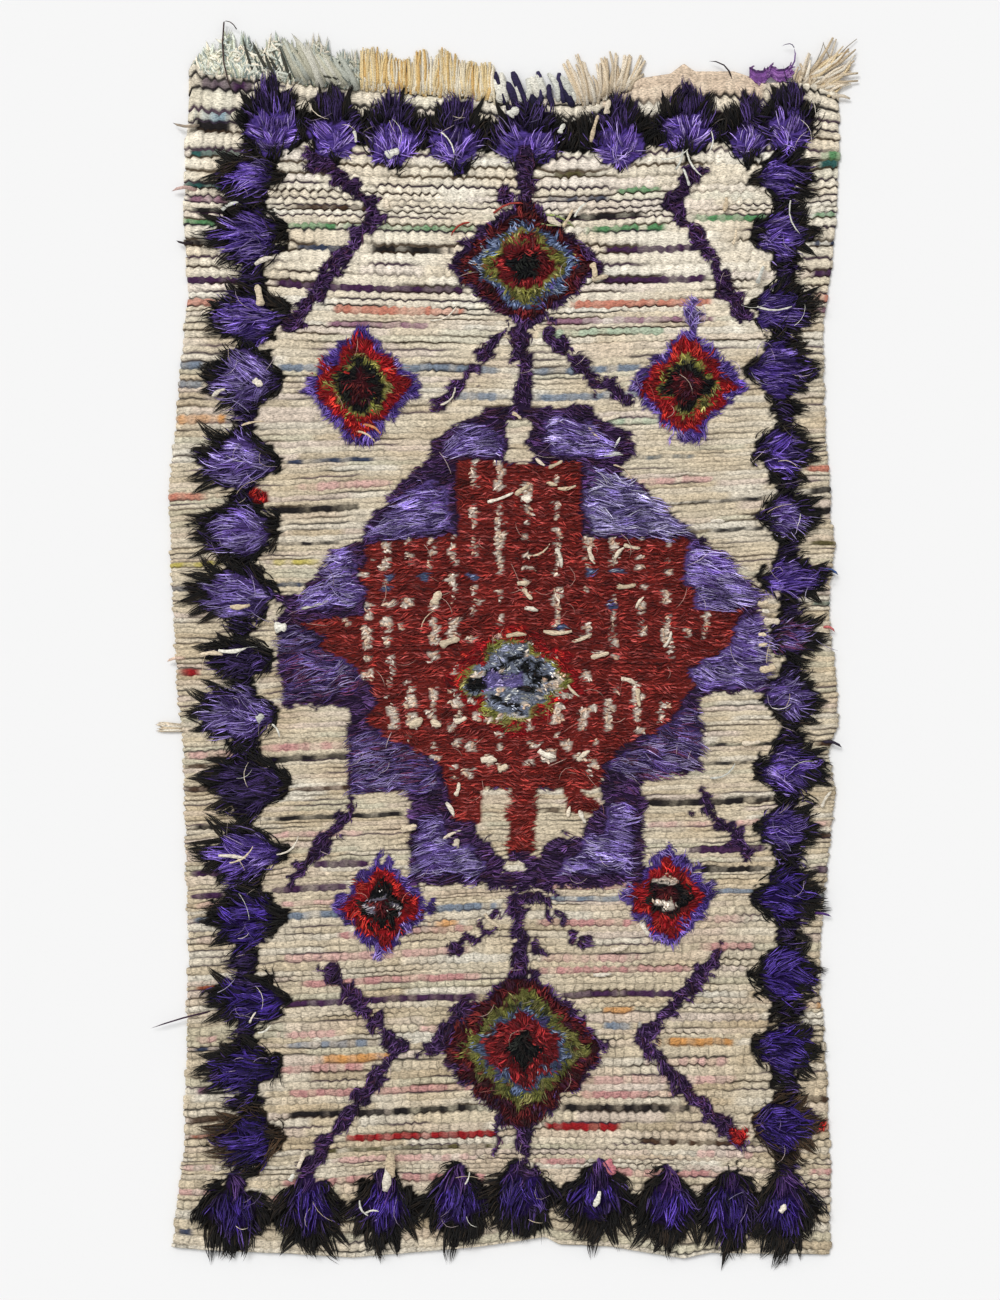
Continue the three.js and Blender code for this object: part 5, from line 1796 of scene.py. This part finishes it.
class RUG_OT_rows(RugOperator, bpy.types.Operator):
    """Weave the rag-cotton rows, in three stretches from the foot to the head"""

    bl_idname = "rug.rows"
    bl_label = "Rows"

    def make(self, scene):
        heights, held = row_heights()
        wools = [linear(WOOLS[p.wool].colours[2]) if p.wool else (0, 0, 0) for p in PATTERN]
        for zone in ZONES:
            x, y, z, colours, weave = row_field(zone, heights, held, scene.rug_rows)
            under = read_pattern(np.stack([x, y], axis=-1))
            # Under the pile the rows take a shade of the wool above them, painted darker by 0.6: painted
            # shade under the pile.
            colours = np.where((under >= 0)[..., None], np.array(wools)[under] * 0.6, colours)
            mesh = sheet_of(zone.name, x, y, z, colours, weave)
            piece = finish_mesh(zone.name, mesh, woven_cotton, "cotton_rag")
            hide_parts("rug_field")


class RUG_OT_pile(RugOperator, bpy.types.Operator):
    """Knot and comb the wool pile, a piece for each part of the pattern"""

    bl_idname = "rug.pile"
    bl_label = "Pile"

    parts = (
        ("pile_left", LONG_STRAND, combed_wool, "black_wool"),
        ("pile_right", LONG_STRAND, combed_wool, "black_wool"),
        ("pile_ends", LONG_STRAND, combed_wool, "black_wool"),
        ("pile_medallion", LONG_STRAND, combed_wool, "violet_wool"),
        ("pile_maroon", SHORT_STRAND, combed_wool, "maroon_wool"),
        ("pile_eyes", SHORT_STRAND, combed_wool, "mixed_wool"),
        ("pile_lines", SHORT_STRAND, combed_wool, "violet_wool"),
        ("pile_flecks", KNOT, rag_cotton, "cotton_rag"),
    )

    def make(self, scene):
        settings = scene.rug_pile
        for group, template, maker, slot in self.parts:
            strands = joined([pile_of(group, settings)] + tufts_of(group, settings))
            strand_piece(group, template, strands, maker, slot, "rug_field")
        hairs = loose_hairs(settings)
        strand_piece("loose_hairs", HAIR, hairs, combed_wool, "mixed_wool", taper=0.4, root_shade=0.8)


class RUG_OT_fringe(RugOperator, bpy.types.Operator):
    """Lay out the four patches of fringe"""

    bl_idname = "rug.fringe"
    bl_label = "Fringe"

    def make(self, scene):
        settings = scene.rug_fringe
        sage, locks, dark, ochre, cream = (fringe_yarns(settings, fringe) for fringe in FRINGES)
        for lot in (locks, dark):
            lot.middle[:, 2] += 7
            lot.tip[:, 2] += 4
        mat = matting(settings)
        # The sage yarns and their mat are made lighter towards the left corner.
        for lot in (sage, mat):
            lot.dye[:] *= SAGE_LIGHTENING(lot.root[:, :1])
        sage = joined([sage, locks, dark])
        for name, template, strands, maker, slot, taper, root_shade in (
            ("fringe_sage", YARN, sage, marled_yarn, "sage_warp", 0.45, 0.8),
            ("fringe_sage_mat", CURL, mat, marled_yarn, "sage_warp", 0.45, 0.8),
            ("fringe_ochre", BLUNT, ochre, marled_yarn, "ochre_warp", 0.45, 1.1),
            ("fringe_cream", BLUNT, cream, marled_yarn, "cream_warp", 0.45, 0.8),
            ("fringe_navy", STRIP, loops(settings), rag_cotton, "navy_warp", 0.1, 0.8),
        ):
            form = {"taper": taper, "root_shade": root_shade}
            strand_piece(name + "_yarns", template, strands, maker, slot, name.removesuffix("_mat"), **form)


class RUG_OT_tassel(RugOperator, bpy.types.Operator):
    """Splay the frayed tassel at the right-hand head corner"""

    bl_idname = "rug.tassel"
    bl_label = "Corner tassel"

    def make(self, scene):
        form = {"taper": 0.5, "root_shade": 0.9, "ragged": 0.15}
        yarns = tassel_yarns(scene.rug_fringe)
        strand_piece("corner_tassel_yarns", BLUNT, yarns, marled_yarn, "cream_warp", "corner_tassel", **form)


class RUG_OT_braid(RugOperator, bpy.types.Operator):
    """Catch the scrap of violet braid in the head end"""

    bl_idname = "rug.braid"
    bl_label = "Braid"

    def make(self, scene):
        draw = chance(scene.rug_fringe.seed + 8)
        wool = joined([braid_cords(draw), braid_hairs(draw)])
        form = {"taper": 0.2, "root_shade": 0.85}
        strand_piece("violet_braid_wool", CURL, wool, combed_wool, "violet_wool", "violet_braid", **form)


class RUG_OT_loose(RugOperator, bpy.types.Operator):
    """Scatter the loose ends of rag and thread over the rug"""

    bl_idname = "rug.loose"
    bl_label = "Loose ends"

    def make(self, scene):
        draw = chance(scene.rug_fringe.seed + 11)
        form = {"taper": 0.3, "root_shade": 0.95, "ragged": 0.25}
        strand_piece("loose_strips", STRIP, loose_strips(draw), rag_cotton, "cotton_rag", **form)
        form = {"taper": 0.4, "root_shade": 0.95}
        strand_piece("stray_yarns", YARN, stray_yarns(), combed_wool, "violet_wool", **form)
        form = {"taper": 0.4, "root_shade": 0.8}
        strips = rag_end(draw)
        strand_piece("loose_rag_end_strips", YARN, strips, rag_cotton, "cotton_rag", "loose_rag_end", **form)


FLOOR_HALF, FLOOR_DROP = 12.0, 0.0004  # half the floor's width, and how far it lies below the rug, in metres
SUN_SPREAD = 24.0  # degrees across, which softens the shadows
SUN_WAY = (0.55, -0.75, -1.25)
AIM = (-8.75, 21, 10)  # the camera looks straight down at this point of the drawing
VIEW_END = 60.0


class RUG_OT_stage(RugOperator, bpy.types.Operator):
    """Set up the pale floor, the soft light and the camera above the rug"""

    bl_idname = "rug.stage"
    bl_label = "Stage"

    def make(self, scene):
        settings = scene.rug_stage
        bm = bmesh.new()
        bmesh.ops.create_grid(bm, x_segments=1, y_segments=1, size=FLOOR_HALF)
        bmesh.ops.translate(bm, verts=bm.verts, vec=(0, 0, -FLOOR_DROP))
        mesh = bpy.data.meshes.new("floor")
        bm.to_mesh(mesh)
        bm.free()
        graph = Graph("pale_floor", 0.9, 0.1)
        graph.dress("Base Color", (*linear(0xF0F0F0), 1))
        mesh.materials.append(graph.material)
        new_object("floor", mesh)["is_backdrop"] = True

        world = bpy.data.worlds.new("even_sky")
        world.use_nodes = True
        background = world.node_tree.nodes["Background"]
        background.inputs["Color"].default_value = (1, 1, 1, 1)
        background.inputs["Strength"].default_value = settings.sky
        scene.world = world

        sun = bpy.data.lights.new("soft_sun", "SUN")
        sun.energy = settings.sun
        sun.angle = math.radians(SUN_SPREAD)
        lamp = new_object("soft_sun", sun)
        lamp.rotation_euler = Vector(SUN_WAY).to_track_quat("-Z", "Y").to_euler()

        view = bpy.data.cameras.new("above")
        view.lens = settings.lens
        view.sensor_fit = "HORIZONTAL"
        view.clip_end = VIEW_END
        distance = settings.across * settings.lens / view.sensor_width
        scene.camera = new_object("above", view)
        scene.camera.location = Vector(place(AIM)) + Vector((0, 0, distance))
        scene.view_settings.view_transform = "Standard"


OPERATORS = (
    RUG_OT_stage, RUG_OT_rows, RUG_OT_pile, RUG_OT_fringe, RUG_OT_tassel, RUG_OT_braid, RUG_OT_loose,
)


class RUG_PT_panel(bpy.types.Panel):
    """The rug's settings and steps"""

    bl_idname = "RUG_PT_panel"
    bl_label = "Azilal rug"
    bl_space_type = "VIEW_3D"
    bl_region_type = "UI"
    bl_category = "Rug"

    def draw(self, context):
        for name, settings in SETTINGS.items():
            box = self.layout.box()
            for key in settings.__annotations__:
                box.prop(getattr(context.scene, name), key)
        for operator in OPERATORS:
            self.layout.operator(operator.bl_idname)


CLASSES = (*SETTINGS.values(), *OPERATORS, RUG_PT_panel)


def register():
    for cls in CLASSES:
        bpy.utils.register_class(cls)
    for name, settings in SETTINGS.items():
        setattr(bpy.types.Scene, name, bpy.props.PointerProperty(type=settings))


def unregister():
    for name in SETTINGS:
        delattr(bpy.types.Scene, name)
    for cls in reversed(CLASSES):
        bpy.utils.unregister_class(cls)


def main():
    """Runs every step in order."""
    register()
    for operator in OPERATORS:
        module, name = operator.bl_idname.split(".")
        getattr(getattr(bpy.ops, module), name)()
    plain = [[list(corner) for corner in box] for box in (CAD_BOX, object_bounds())]


if __name__ == "__main__":
    main()
